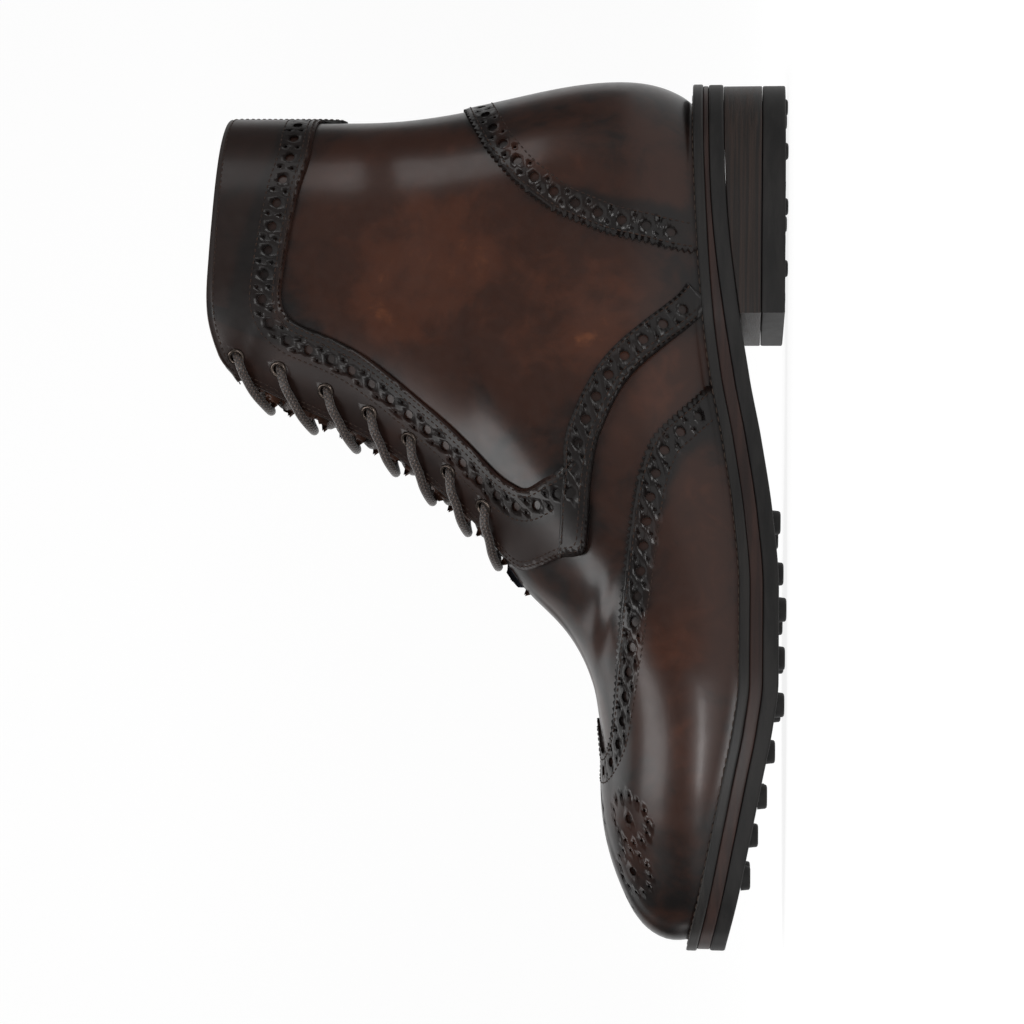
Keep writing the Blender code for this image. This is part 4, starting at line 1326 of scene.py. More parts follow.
def tab_line():
    """Throat edge from the collar down, round the tab's corner and on along the quarter's lower edge."""
    x = np.abs(look_up(QUARTER_FRONT[:, 0], QUARTER_FRONT[:, 1])[0][:, 0])
    lower = QUARTER_FRONT[x > THROAT_GAP / 2 + 0.0045]
    base = curve_through(QUARTER_ROWS, 1, THROAT_EDGE[:, 0])
    upper = THROAT_EDGE[THROAT_EDGE[:, 1] > base + 0.028][::-1]
    line = np.vstack([upper, lower])
    run = lengths(line)
    corner = run[len(upper)]
    fine = even(line, 0.0006)
    bent = fine.copy()
    for _ in range(30):
        bent[1:-1] = (bent[:-2] + 2 * bent[1:-1] + bent[2:]) / 4
    at = lengths(fine)
    share = np.exp(-(((at - corner) / 0.006) ** 4))[:, None]
    return fine * (1 - share) + bent * share


TAB = tab_line()


def panel_edge():
    """Edge of the facings and the collar strip over the quarter: from the back seam to the tab."""
    around = np.linspace(1.0, 0.40, 120)
    collar = np.column_stack([around, curve_through(COLLAR_BAND_ROWS, 1, around)])
    up = np.linspace(0.878, 0.34, 120)
    stay = np.column_stack([curve_through(EYESTAY_ROWS, 1, up), up])
    line = np.vstack([collar, stay])
    run = lengths(line)
    corner = (run[119] + run[120]) / 2
    fine = even(line, 0.0007)
    bent = fine.copy()
    for _ in range(60):
        bent[1:-1] = (bent[:-2] + 2 * bent[1:-1] + bent[2:]) / 4
    at = lengths(fine)
    share = np.exp(-(((at - corner) / 0.010) ** 4))[:, None]
    return fine * (1 - share) + bent * share


PANEL_EDGE = panel_edge()

COUNTER_FRONT = rows_line(COUNTER_ROWS, swapped=True, samples=200)
COUNTER_FRONT = np.vstack([[(0.7100, -0.02)], COUNTER_FRONT])

# Rear edge of the quarter's front strip, from the tab's lower edge to the welt
STRIP_TOP = (
    # around, up
    (0.246, 0.4395),
    (0.290, 0.4330),
    (0.345, 0.4270),
    (0.385, 0.4150),
)
STRIP_WIDTH = 0.0112


def strip_rear():
    """Rear edge of the front strip, as wide as the strip from the quarter's edge."""
    along = QUARTER_FRONT[QUARTER_FRONT[:, 0] > 0.325]
    rear = beside(along, STRIP_WIDTH * SIDE_OF_QUARTER)
    rear = rear[rear[:, 0] > 0.402]
    line = np.vstack([np.array(STRIP_TOP), rear])
    return smooth_line(line, 0.0008, 12)


def left_sign(line, axis, wanted, reach=0.003):
    """1 when a step to the left of a line moves it the wanted way along one chart axis, and -1 otherwise."""
    moved = slide(line, crosswise(line) * reach)
    return 1.0 if (moved[:, axis] - line[:, axis]).mean() * wanted > 0 else -1.0


# Panels

quarter_run = QUARTER_FRONT[(QUARTER_FRONT[:, 0] > 0.40) & (QUARTER_FRONT[:, 0] < 0.5)]
SIDE_OF_QUARTER = left_sign(quarter_run, 1, 1, 0.004)
STRIP_REAR = strip_rear()


def to_round(line):
    """A medial line and its mirror, on a chart that runs on past the back seam."""
    other = line[::-1] * np.array([-1.0, 1.0]) + np.array([2.0, 0.0])
    return line, other


def bottom_run(first, last, step=0.006):
    """Places along the welt, a little under the feather."""
    count = int(abs(last - first) / step) + 2
    return np.column_stack([np.linspace(first, last, count), np.full(count, -0.02)])


def top_run(first, last, step=0.006):
    """Places along the collar."""
    count = int(abs(last - first) / step) + 2
    return np.column_stack([np.linspace(first, last, count), np.ones(count)])


# Punched holes: pitch and radius of the big ones, radius of the small ones
HOLE_PITCH = 0.0086
BIG_HOLE = 0.00172
SMALL_HOLE = 0.00056


def hole_row(line, big_pitch, big=BIG_HOLE, small=SMALL_HOLE, spread=0.0022):
    """Punched holes on a line: big ones a pitch apart with pairs of small ones between."""
    run = lengths(line)[-1]
    count = max(int(round((run - 0.004) / big_pitch)), 2)
    main = even(line, big_pitch, (run - (count - 1) * big_pitch) / 2, (run - (count - 1) * big_pitch) / 2)
    if len(main) != count:
        main = np.column_stack(
            [np.interp(np.linspace(0, 1, count), np.linspace(0, 1, len(main)), main[:, k]) for k in (0, 1)]
        )
    holes = [(a, u, big) for a, u in main]
    middle = (main[:-1] + main[1:]) / 2
    way = crosswise(main, 1)
    way = (way[:-1] + way[1:]) / 2
    for sign in (1, -1):
        spots = slide(middle, way * sign * spread)
        holes += [(a, u, small) for a, u in spots]
    return holes


def mirror_holes(holes, past_back=False):
    """The same holes on the other side."""
    base = 2.0 if past_back else 0.0
    return [(base - a, u, r) for a, u, r in holes]


# Wing cap
wing_edge = pinked(WING_SEAM)
wing_loop = np.vstack([wing_edge, bottom_run(wing_edge[-1, 0], wing_edge[0, 0])[1:-1]])


def wing_side(distance):
    """A line this far inside the wing's edge, over both sides, trimmed to the welt."""
    line = beside(WING_SEAM, distance * WING_LEFT)
    return line[line[:, 1] > 0.006]


WING_LEFT = left_sign(WING_SEAM[20:60], 1, -1)
wing_holes = hole_row(wing_side(0.0056), HOLE_PITCH)

MEDALLION = (
    # sideways mm, forward mm, big hole, ring across mm, ring along mm, holes in the ring, first angle
    (0.0, 262.0, 1.6, 10.4, 11.4, 14, 90),
    (25.0, 262.0, 1.6, 8.0, 8.4, 13, 20),
    (18.2, 280.0, 1.6, 7.6, 7.8, 12, 60),
    (0.0, 292.5, 1.4, 8.6, 6.0, 9, -30),
)


def chart_place(sideways, forward):
    """Shares of a place on the toe given sideways and forward, in metres."""
    half = CHART[: int(CHART_STEPS * 0.34), CHART_STEPS : CHART_STEPS + 150]
    best = np.hypot(half[..., 0] - abs(sideways), half[..., 1] - forward)
    i, j = np.unravel_index(best.argmin(), best.shape)
    return math.copysign(j / CHART_STEPS, sideways) if sideways else 0.0, i / CHART_STEPS


def medallion_holes():
    """Big holes with rings of small ones on the toe, without those that would touch."""
    holes = []
    for sideways, forward, big, across, along, count, first in MEDALLION:
        for sign in (1, -1) if sideways else (1,):
            centre = chart_place(sign * sideways / 1000, forward / 1000)
            holes.append((*centre, big / 1000))
            normal = look_up(*[np.array([c]) for c in centre])[1][0]
            side = unit(np.array([1.0, 0, 0]) - normal * normal[0])
            ahead = np.cross(normal, side)
            ahead = ahead * np.sign(ahead[1])
            for k in range(count):
                angle = math.radians(first + 360 * k / count)
                out = side * sign * math.cos(angle) * across / 1000 + ahead * math.sin(angle) * along / 1000
                spot = slide(np.array([centre]), out[None, :])[0]
                holes.append((spot[0], spot[1], SMALL_HOLE))
    kept = []
    for hole in holes:
        point = look_up(np.array([hole[0]]), np.array([hole[1]]))[0][0]
        clear = all(np.linalg.norm(point - p) > hole[2] + r + 0.0006 for p, r in kept)
        if clear and hole[1] > 0.02:
            kept.append((point, hole[2]))
            yield hole


wing_holes += list(medallion_holes())
panel(
    "wing_cap",
    [wing_loop],
    wing_holes,
    FIRST,
    OVERLAY_THICKNESS + 0.0004,
    LEATHER,
    "wing_cap",
    tone=wing_tone,
)

# Vamp and the upper behind the overlays
vamp_top = np.array([(a, 0.62) for a in np.linspace(0.46, -0.46, 90)])
vamp_rest = np.array([(-a, u) for a, u in ((0.47, 0.50), (0.52, 0.36), (0.60, 0.22), (0.66, 0.10))])
vamp_loop = np.vstack([vamp_top, vamp_rest, bottom_run(-0.70, 0.70), vamp_rest[::-1] * np.array([-1.0, 1.0])])
panel("vamp", [vamp_loop], [], 0.0, 0.0012, LEATHER, "upper", tone=vamp_tone)

# Quarters
medial_tab, lateral_tab = to_round(TAB)
quarter_loop = np.vstack(
    [
        bottom_run(2 - TAB[-1, 0], TAB[-1, 0])[1:-1],
        medial_tab[::-1],
        top_run(TAB[0, 0], 2 - TAB[0, 0])[1:-1],
        lateral_tab[::-1],
    ]
)
panel(
    "quarters",
    [quarter_loop],
    [],
    FIRST,
    OVERLAY_THICKNESS,
    LEATHER,
    "quarters",
    tone=quarter_tone,
)

# Facings and collar, one piece round the back
TAB_END = int(np.argmin(np.abs(TAB[:, 0] - 0.36) + 9 * (TAB[:, 1] > 0.5)))
tab_part = TAB[: TAB_END + 1]
edge_part = PANEL_EDGE[PANEL_EDGE[:, 1] > 0.365]
facing_loop = np.vstack(
    [
        top_run(TAB[0, 0], 2 - TAB[0, 0])[1:-1],
        to_round(tab_part)[1][::-1],
        to_round(edge_part)[1][::1],
        edge_part[1:],
        tab_part[::-1],
    ]
)


def edge_side(distance):
    """A line this far from the facings' edge, on the facings."""
    return beside(PANEL_EDGE, distance * EDGE_LEFT)


EDGE_LEFT = left_sign(PANEL_EDGE[20:60], 1, 1)
UPS = [
    EYELET_SPAN[0] + (EYELET_SPAN[1] - EYELET_SPAN[0]) * i / (EYELETS_A_SIDE - 1)
    for i in range(EYELETS_A_SIDE)
]
EYELETS = [(around_at(THROAT_GAP / 2 + EYELET_FROM_EDGE, up, 1), up) for up in UPS]
edge_line = edge_side(0.0068)
edge_line = edge_line[(edge_line[:, 1] > 0.40)]
facing_holes = hole_row(edge_line, HOLE_PITCH)
facing_holes = [h for h in facing_holes if h[0] < 0.995]
facing_holes += mirror_holes(facing_holes, True)
facing_holes += [(a, u, 0.0019) for a, u in EYELETS] + [(2 - a, u, 0.0019) for a, u in EYELETS]
panel(
    "facings_and_collar",
    [facing_loop],
    facing_holes,
    SECOND,
    OVERLAY_THICKNESS,
    BAND,
    "facings_and_collar",
    tone=facing_tone_and_edge_highlight,
)

# Front strips of the quarters
FRONT_START = int(np.argmin(np.abs(QUARTER_FRONT[:, 0] - 0.2465)))
strip_front = smooth_line(QUARTER_FRONT[FRONT_START:], 0.0008, 2)
strip_loop = np.vstack([strip_front, STRIP_REAR[STRIP_REAR[:, 1] > -0.02][::-1]])
strip_middle = beside(QUARTER_FRONT[QUARTER_FRONT[:, 0] > 0.345], 0.0062 * SIDE_OF_QUARTER)
strip_middle = strip_middle[(strip_middle[:, 1] > 0.012) & (strip_middle[:, 0] > 0.33)]
strip_holes = hole_row(strip_middle, HOLE_PITCH)
for side, name in ((1, "strip_medial"), (-1, "strip_lateral")):
    loop = strip_loop * np.array([side, 1.0])
    holes = [(side * a, u, r) for a, u, r in strip_holes]
    panel(name, [loop], holes, STRIP, OVERLAY_THICKNESS, BAND, tone=band_tone)

# Heel counter
counter_line = COUNTER_FRONT[COUNTER_FRONT[:, 0] < 0.999]
counter_full = np.vstack([counter_line, [(1.0, COUNTER_ROWS[-1][0])], to_round(counter_line)[1]])
counter_edge = pinked(counter_full)
counter_loop = np.vstack([counter_edge, bottom_run(counter_edge[-1, 0], counter_edge[0, 0])[1:-1]])


def counter_side(distance):
    """A line this far inside the counter's edge."""
    line = beside(counter_full, distance * COUNTER_LEFT)
    return line[line[:, 1] > 0.008]


COUNTER_LEFT = left_sign(counter_full[60:100], 0, 1)
counter_holes = hole_row(counter_side(0.0056), HOLE_PITCH)
panel(
    "heel_counter",
    [counter_loop],
    counter_holes,
    SECOND,
    OVERLAY_THICKNESS + 0.0003,
    LEATHER,
    "heel_counter",
    tone=counter_tone,
)

# Small strip over the top of the back seam
back_half = np.array([(0.966, 1.0), (0.966, 0.90), (0.962, 0.80), (0.975, 0.765), (1.0, 0.755)])
back_strip = np.vstack([back_half, to_round(back_half[:-1])[1]])
panel("back_strip", [even(back_strip, 0.0012)], [], STRIP, 0.0008, BAND, tone=band_tone)
# Stitches


STITCH_SIDES = 6


def ring_faces(near, far, count):
    """Faces between two closed rings of points that start at these numbers."""
    return [(near + n, far + n, far + (n + 1) % count, near + (n + 1) % count) for n in range(count)]


def add_stitch(points, faces, spot, axes, long, radius, thin):
    """Adds a short capsule whose thin ends go down into the leather; axes are along, across and out."""
    way, side, up = axes
    start = len(points)
    rings = ((-0.5, thin, -0.9), (-0.30, 1.0, 0.0), (0.30, 1.0, 0.0), (0.5, thin, -0.9))
    for at, thick, sink in rings:
        centre = spot + way * at * long + up * sink * radius
        for k in range(STITCH_SIDES):
            angle = 2 * math.pi * k / STITCH_SIDES
            points.append(centre + radius * thick * (math.cos(angle) * side + math.sin(angle) * up))
    for k in range(len(rings) - 1):
        near = start + STITCH_SIDES * k
        faces += ring_faces(near, near + STITCH_SIDES, STITCH_SIDES)


def sewn_piece(name, points, faces, surface):
    """A piece of many stitches, shaded round each thread."""
    points = np.array(points)
    centres = points.reshape(-1, STITCH_SIDES, 3).mean(axis=1).repeat(STITCH_SIDES, axis=0)
    return add_piece(name, points, faces, surface, unit(points - centres), None)


def stitch_rows(name, rows, pitch, radius, surface, share=0.74):
    """Sewn rows on the upper, given as lines and their heights over its face."""
    points, faces = [], []
    for line, offset in rows:
        if len(line) < 3:
            continue
        line = even(line, pitch)
        middle = (line[:-1] + line[1:]) / 2
        spots = on_upper(middle[:, 0], middle[:, 1], offset)
        normals = look_up(middle[:, 0], middle[:, 1])[1]
        ends = on_upper(line[:, 0], line[:, 1], offset)
        along = ends[1:] - ends[:-1]
        reach = np.linalg.norm(along, axis=1)
        along = unit(along)
        across = unit(np.cross(along, normals))
        for spot, way, side, up, long in zip(spots, along, across, normals, reach):
            add_stitch(points, faces, spot, (way, side, up), long * share, radius, 0.45)
    return sewn_piece(name, points, faces, surface)


def both(line, past_back=False):
    """A line and its mirror."""
    base = 2.0 if past_back else 0.0
    return [line, line[::-1] * np.array([-1.0, 1.0]) + np.array([base, 0.0])]


rows = []
for distance in (0.0019, 0.0098):
    rows.append((wing_side(distance), FIRST))
for distance, keep in ((0.0013, 0.36), (0.0030, 0.36), (0.0112, 0.42)):
    line = edge_side(distance)
    line = line[line[:, 1] > keep + 0.02]
    rows += [(half, SECOND) for half in both(line, True)]
for distance in (0.0014, 0.0031):
    line = beside(TAB, distance * SIDE_OF_QUARTER)
    line = line[line[:, 1] > 0.0]
    split = line[:, 0] < 0.27
    rows += [(half, SECOND) for half in both(line[split | (line[:, 1] > 0.5)], True)]
    rest = line[~(split | (line[:, 1] > 0.5))]
    rows += [(half, STRIP) for half in both(rest[rest[:, 1] > 0.01], True)]
line = beside(STRIP_REAR, 0.0011 * -SIDE_OF_QUARTER)
rows += [(half, STRIP) for half in both(line[line[:, 1] > 0.01], True)]
tack = np.array([(0.262, 0.4400), (0.300, 0.4340)])
rows += [(half, STRIP) for half in both(tack, True)]
for distance in (0.0019, 0.0098):
    rows.append((counter_side(distance), SECOND))
collar_stitch = np.column_stack(
    [np.linspace(TAB[0, 0] + 0.012, 2 - TAB[0, 0] - 0.012, 400), np.full(400, 1 - 0.0085)]
)
rows.append((collar_stitch, SECOND))
back_line = even(back_strip * np.array([0.8, 1.0]) + np.array([0.2, 0.004]), 0.0012)
rows.append((back_line[(back_line[:, 1] < 0.99)], STRIP))
stitch_rows("stitches", rows, 0.0021, 0.00025, THREAD)

# Eyelets and lace


def spun(name, centre, normal, section, turns, surface, replaced):
    """A round ring spun from a section of (radius, height)."""
    first = unit(np.cross(normal, [1.0, 0.2, 0.0]))
    second = np.cross(normal, first)
    count = len(section)
    points, faces = [], []
    for k in range(turns):
        angle = 2 * math.pi * k / turns
        way = math.cos(angle) * first + math.sin(angle) * second
        points += [centre + r * way + h * normal for r, h in section]
    for k in range(turns):
        faces += ring_faces(count * k, count * ((k + 1) % turns), count)
    points = np.array(points)
    core = np.array(
        [centre + (points[i] - centre - normal * ((points[i] - centre) @ normal)) for i in range(len(points))]
    )
    ring = centre + unit(core - centre) * (EYELET_HOLE / 2 + EYELET_OUTSIDE / 2) / 2
    return add_piece(name, points, faces, surface, unit(points - ring), None, replaced)


RIM = [
    (
        (EYELET_HOLE + EYELET_OUTSIDE) / 4 + (EYELET_OUTSIDE - EYELET_HOLE) / 4 * math.cos(angle),
        0.00085 * math.sin(angle) if math.sin(angle) > 0 else 0.0016 * math.sin(angle) * (
            0.5 - 0.5 * math.cos(angle)
        ),
    )
    for angle in np.linspace(0, 2 * math.pi, 12, endpoint=False)
]
for side, word in ((1, "medial"), (-1, "lateral")):
    for i, (around, up) in enumerate(EYELETS):
        spot = np.array([side * around]), np.array([up])
        centre = on_upper(*spot, SECOND + 0.0001)[0]
        spun(
            f"eyelet_{word}_{i + 1}",
            centre,
            look_up(*spot)[1][0],
            RIM,
            24,
            METAL,
            f"eyelet_{word}_{i + 1}",
        )


def smooth_path(points, step):
    """Evenly spaced points on a smooth curve through the given ones."""
    points = np.array(points)
    at = np.concatenate([[0], np.cumsum(np.linalg.norm(np.diff(points, axis=0), axis=1))])
    fine = np.linspace(0, at[-1], int(at[-1] / step) + 2)
    return np.column_stack([spline(at, points[:, k], fine) for k in range(3)])


def cord_mesh(name, path, radius, surface, replaced=None, sides=12, braid=0.0016, turns=6):
    """A round cord with its braid laid out along and round it."""
    along = unit(np.gradient(path, axis=0))
    across = unit(np.cross(along[0], [0.1, 0.3, 1.0]))
    points, normals, coords = [], [], []
    run = np.concatenate([[0], np.cumsum(np.linalg.norm(np.diff(path, axis=0), axis=1))])
    period = 2 * math.pi / 10
    for spot, way, length in zip(path, along, run):
        across = unit(across - way * (across @ way))
        other = np.cross(way, across)
        for k in range(sides):
            angle = 2 * math.pi * k / sides
            out = math.cos(angle) * across + math.sin(angle) * other
            points.append(spot + radius * out)
            normals.append(out)
        coords.append(length / braid * period)
    faces, uv = [], []
    for i in range(len(path) - 1):
        near, far = sides * i, sides * (i + 1)
        for k in range(sides):
            n = (k + 1) % sides
            faces.append((near + k, far + k, far + n, near + n))
            low, high = k / sides * turns * period, (k + 1) / sides * turns * period
            uv.append(((coords[i], low), (coords[i + 1], low), (coords[i + 1], high), (coords[i], high)))
    mesh = bpy.data.meshes.new(name)
    flipped = [f[::-1] for f in faces]
    mesh.from_pydata(world(np.array(points)).tolist(), [], flipped)
    mesh.materials.append(surface)
    mesh.shade_smooth()
    layer = mesh.uv_layers.new(name="braid")
    layer.data.foreach_set("uv", [c for corners in uv for pair in corners[::-1] for c in pair])
    made = bpy.data.objects.new(name, mesh)
    bpy.context.scene.collection.objects.link(made)
    settle(made, replaced)
    return made


def lace_points():
    """The cord's way: each bar starts on the side where the slanted run before it ends."""
    radius = LACE_DIAMETER / 2
    edge = THROAT_GAP / 2
    hole = edge + EYELET_FROM_EDGE
    over = SECOND + radius
    points = []

    def place(x, up, offset):
        around = around_at(abs(x), up, 1 if x >= 0 else -1) if abs(x) > 1e-6 else 0.0
        return on_upper(np.array([around]), np.array([up]), offset)[0]

    slip = 0.0018 / COLLAR_RISE
    steps = (
        (hole + 0.0004, -0.0034, 0.0),
        (hole + 0.0003, 0.0006, 0.0),
        (hole - 0.0002, 0.0024, 0.2),
        (hole - 0.0019, over + 0.0008, 0.7),
        (hole - 0.0046, over + 0.0003, 1.0),
        (edge - 0.0010, over + 0.0001, 1.1),
        (edge - 0.0045, over - 0.0005, 1.2),
    )
    for i, up in enumerate(UPS):
        for x, offset, drop in steps:
            points.append(place(-x, up - slip * drop, offset))
        points.append(place(0.0, up - slip * 1.3, over - 0.0009))
        for x, offset, drop in steps[::-1]:
            points.append(place(x, up - slip * drop, offset))
        if i + 1 < len(UPS):
            rise = UPS[i + 1] - up
            points.append(place(edge + 0.0020, up + 0.08 * rise, -0.0030))
            points.append(place(edge - 0.0030, up + 0.27 * rise, -0.0016))
            points.append(place(0.0, up + 0.52 * rise, -0.0008))
            points.append(place(-(edge - 0.0030), up + 0.77 * rise, -0.0016))
            points.append(place(-(edge + 0.0020), up + 0.93 * rise, -0.0030))
    return points, radius


cord_points, cord_radius = lace_points()
cord_mesh("lace", smooth_path(cord_points, 0.0007), cord_radius, LACE, "lace")

# Tongue, lining and insole

tongue_face = -UPPER_WALL - TONGUE_CLEARANCE


def tongue_tone_and_throat_shade(around, up, points):
    """Tone of the tongue: lighter near its top, with painted shade in darker bands along the throat's edges,
    where the tongue runs under the facings.
    """
    # painted shade: the bell at 0.11 round darkens the tongue along the throat's edges, under the facings'
    # edges
    level = 0.36 + 0.25 * bell(up, 0.97, 0.02) - 0.2 * bell(np.abs(around), 0.11, 0.05)
    return np.column_stack([np.clip(level, 0, 1), 0.8 + 0.0 * level])


turn = np.linspace(0, math.pi, 60)
tongue_top = np.column_stack([TONGUE_HALF_SHARE * np.cos(turn), 0.935 + 0.048 * np.sin(turn) ** 0.7])
tongue_side = [(TONGUE_HALF_SHARE, u) for u in np.linspace(0.52, 0.92, 40)]
tongue_loop = np.vstack(
    [
        tongue_top,
        [(-a, u) for a, u in tongue_side[::-1]],
        [(a, 0.50) for a in np.linspace(-0.29, 0.29, 60)],
        tongue_side,
    ]
)
panel(
    "tongue",
    [tongue_loop],
    [],
    tongue_face,
    TONGUE_THICKNESS,
    TONGUE,
    "tongue",
    tone=tongue_tone_and_throat_shade,
)


def lining_sheet():
    """The inner face, from the insole up to the collar, and the collar's and throat's edge."""
    count_round, count_up = 240, 90
    rows_up = np.linspace(0.0, 1.0, count_up)
    points, normals, faces = [], [], []
    for up in rows_up:
        edge = around_at(THROAT_GAP / 2, max(up, 0.6), 1) if up > 0.6 else 0.0
        around = np.linspace(edge, 2 - edge, count_round)
        p, n = look_up(around, np.full(count_round, up))
        points.append(p - n * (UPPER_WALL + 0.0002))
        normals.append(-n)
    for i in range(count_up - 1):
        if rows_up[i] <= 0.6 < rows_up[i + 1]:
            continue
        for j in range(count_round - 1):
            a, b = i * count_round + j, (i + 1) * count_round + j
            faces.append((a, a + 1, b + 1, b))
    add_piece("lining", np.vstack(points), faces, LINING, np.vstack(normals), None)


lining_sheet()


def edge_binding():
    """Closes the wall at the collar and down both sides of the throat with a rounded leather edge."""
    down = THROAT_EDGE[::-1]
    medial = down[down[:, 1] > 0.56]
    top = top_run(medial[0, 0], 2 - medial[0, 0], 0.004)
    lateral = to_round(medial)[1]
    line = np.vstack([medial[::-1], top[1:-1], lateral[::-1]])
    line = even(line, 0.0015)
    normal = look_up(line[:, 0], line[:, 1])[1]
    point = on_upper(line[:, 0], line[:, 1], 0.0)
    outside, inside_face = SECOND - 0.0001, -UPPER_WALL - 0.0003
    middle, reach = (outside + inside_face) / 2, (outside - inside_face) / 2
    along = unit(np.gradient(point, axis=0))
    way = unit(np.cross(normal, along))
    above = np.array([0.0, 0.0, 1.0])
    if (way[len(way) // 2] @ above) < 0:
        way = -way
    sides = 10
    points, normals, faces = [], [], []
    for spot, out, up_way in zip(point, normal, way):
        for k in range(sides):
            angle = math.pi * k / (sides - 1)
            c, s = math.cos(angle), math.sin(angle)
            points.append(spot + out * (middle + reach * c) + up_way * (0.00055 * s))
            normals.append(unit(out * c * 0.5 + up_way * s))
    for i in range(len(point) - 1):
        near, far = sides * i, sides * (i + 1)
        faces += [(near + k, far + k, far + k + 1, near + k + 1) for k in range(sides - 1)]
    add_piece("edge_binding", np.array(points), faces, EDGE, np.array(normals), None)


EDGE = plain_surface(
    "cut leather edge", (0.010, 0.0065, 0.0050), (0.035, 0.017, 0.011), 0.45, 120.0, (1, 1, 1), 0.1
)
edge_binding()

# Sole


def mid_x(outline, forward):
    """Middle of an outline across, at places along it."""
    left, right = edges_at([tuple(p) for p in outline], forward)
    return (left + right) / 2


def sole_layer(name, outline, top, bottom, surface, replaced, rounding):
    """A layer swept round its outline with rounded edges; caps run in to the middle line."""
    line = np.array(outline)
    normals = plan_normals(line)
    middle = mid_x(line, line[:, 1])
    mid_line = np.column_stack([middle, line[:, 1]])
    arc = np.linspace(0, math.pi / 2, 5)
    profile_rows = []
    for angle in arc:
        profile_rows.append((rounding * (1 - math.sin(angle)), 1, -rounding * (1 - math.cos(angle))))
    for share in (0.75, 0.5, 0.25):
        profile_rows.append((0.0, share, 0.0))
    for angle in arc[::-1]:
        profile_rows.append((rounding * (1 - math.sin(angle)), 0, rounding * (1 - math.cos(angle))))
    points = []
    high = np.array([float(top(u)) for u in line[:, 1]])
    low = np.array([float(bottom(u)) for u in line[:, 1]])
    points.append(np.column_stack([mid_line, high]))
    for inset, share, add in profile_rows:
        ring = line - normals * inset
        height = low + (high - low) * share + add
        points.append(np.column_stack([ring, height]))
    points.append(np.column_stack([mid_line, low]))
    count = len(line)
    faces = []
    for i in range(len(points) - 1):
        near, far = count * i, count * (i + 1)
        faces += [(near + k, near + (k + 1) % count, far + (k + 1) % count, far + k) for k in range(count)]
    made = add_piece(name, np.vstack(points), faces, surface, None, None, replaced)
    made.data.set_sharp_from_angle(angle=math.radians(50))
    if made.data.polygons[0].normal.z < 0:
        made.data.flip_normals()
    return made


def cut_at(outline, end):
    """The part of an outline behind a straight line across it."""
    line = np.array(outline)
    back = np.argmin(line[:, 1])
    line = np.roll(line, -back, axis=0)
    keep = line[:, 1] <= end
    first = int(np.argmin(keep))
    last = len(keep) - int(np.argmin(keep[::-1]))
    one, other = line[:first], line[last:]
    a = one[-1] + (line[first] - one[-1]) * (end - one[-1][1]) / (line[first][1] - one[-1][1])
    b = other[0] + (line[last - 1] - other[0]) * (end - other[0][1]) / (line[last - 1][1] - other[0][1])
    across = np.linspace(0, 1, 40)[:, None]
    return np.vstack([one, a * (1 - across) + b * across, other])


FINE = 641
sole_layer(
    "welt",
    sole_outline(0.0, FINE),
    welt_top,
    lambda u: welt_top(u) - WELT_THICKNESS - 0.0001,
    WELT,
    "welt",
    0.0006,
)
sole_layer(
    "midsole",
    sole_outline(-MIDSOLE_INSET, FINE),
    lambda u: midsole_top(u) + 0.0002,
    midsole_bottom,
    MIDSOLE,
    "midsole",
    0.0005,
)
sole_layer(
    "outsole",
    sole_outline(-OUTSOLE_INSET, FINE),
    lambda u: outsole_top(u) + 0.0002,
    outsole_bottom,
    RUBBER,
    "outsole",
    0.0007,
)
LIFT_TOP = TOP_LIFT_STUD_HEIGHT + TOP_LIFT_THICKNESS
heel = cut_at(sole_outline(-HEEL_INSET, FINE), HEEL_BREAST)
sole_layer(
    "heel_stack",
    heel,
    lambda u: outsole_bottom(u) - 0.0001,
    lambda u: LIFT_TOP + 0.0002,
    STACK,
    "heel_stack",
    0.0004,
)
sole_layer(
    "top_lift",
    heel,
    lambda u: LIFT_TOP,
    lambda u: TOP_LIFT_STUD_HEIGHT,
    RUBBER,
    "top_lift",
    0.0006,
)


def stud_mesh(name, rows, diameter, low_at, sink, replaced):
    """Round moulded studs with a rounded rim and a small dimple."""
    points, faces = [], []
    turns = 28
    for forward, x in rows:
        low = low_at(forward)
        base = sink(forward)
        tip = STUD_TIP_SHARE * diameter / 2
        section = (
            (diameter / 2, base),
            (tip + 0.0002, low + 0.0006),
            (tip - 0.0002, low + 0.00015),
            (tip - 0.0009, low),
            (tip * 0.55, low),
            (tip * 0.45, low + 0.0003),
            (0.0, low + 0.0004),
        )
        start = len(points)
        for k in range(turns):
            angle = 2 * math.pi * k / turns
            points += [(x + r * math.cos(angle), forward + r * math.sin(angle), z) for r, z in section]
        count = len(section)
        for k in range(turns):
            near, far = start + count * k, start + count * ((k + 1) % turns)
            faces += [(near + n, near + n + 1, far + n + 1, far + n) for n in range(count - 1)]
    made = add_piece(name, np.array(points), faces, RUBBER, None, None, replaced)
    made.data.set_sharp_from_angle(angle=math.radians(40))
    return made


def stud_places(rows, outline):
    """Each stud's place: forward and sideways."""
    for station, places in rows:
        forward = station * SOLE_LENGTH
        left, right = edges_at(outline, forward)
        for share in places:
            yield forward, float(left + share * (right - left))


full = sole_outline(0.0, 161)
stud_mesh(
    "outsole_studs",
    list(stud_places(OUTSOLE_STUDS, full)),
    STUD_DIAMETER,
    lambda u: float(outsole_bottom(u)) - STUD_HEIGHT,
    lambda u: float(outsole_bottom(u)) + 0.0006,
    "outsole",
)
stud_mesh(
    "top_lift_studs",
    list(stud_places(TOP_LIFT_STUDS, full)),
    TOP_LIFT_STUD_DIAMETER,
    lambda u: 0.0,
    lambda u: TOP_LIFT_STUD_HEIGHT + 0.0006,
    "top_lift",
)


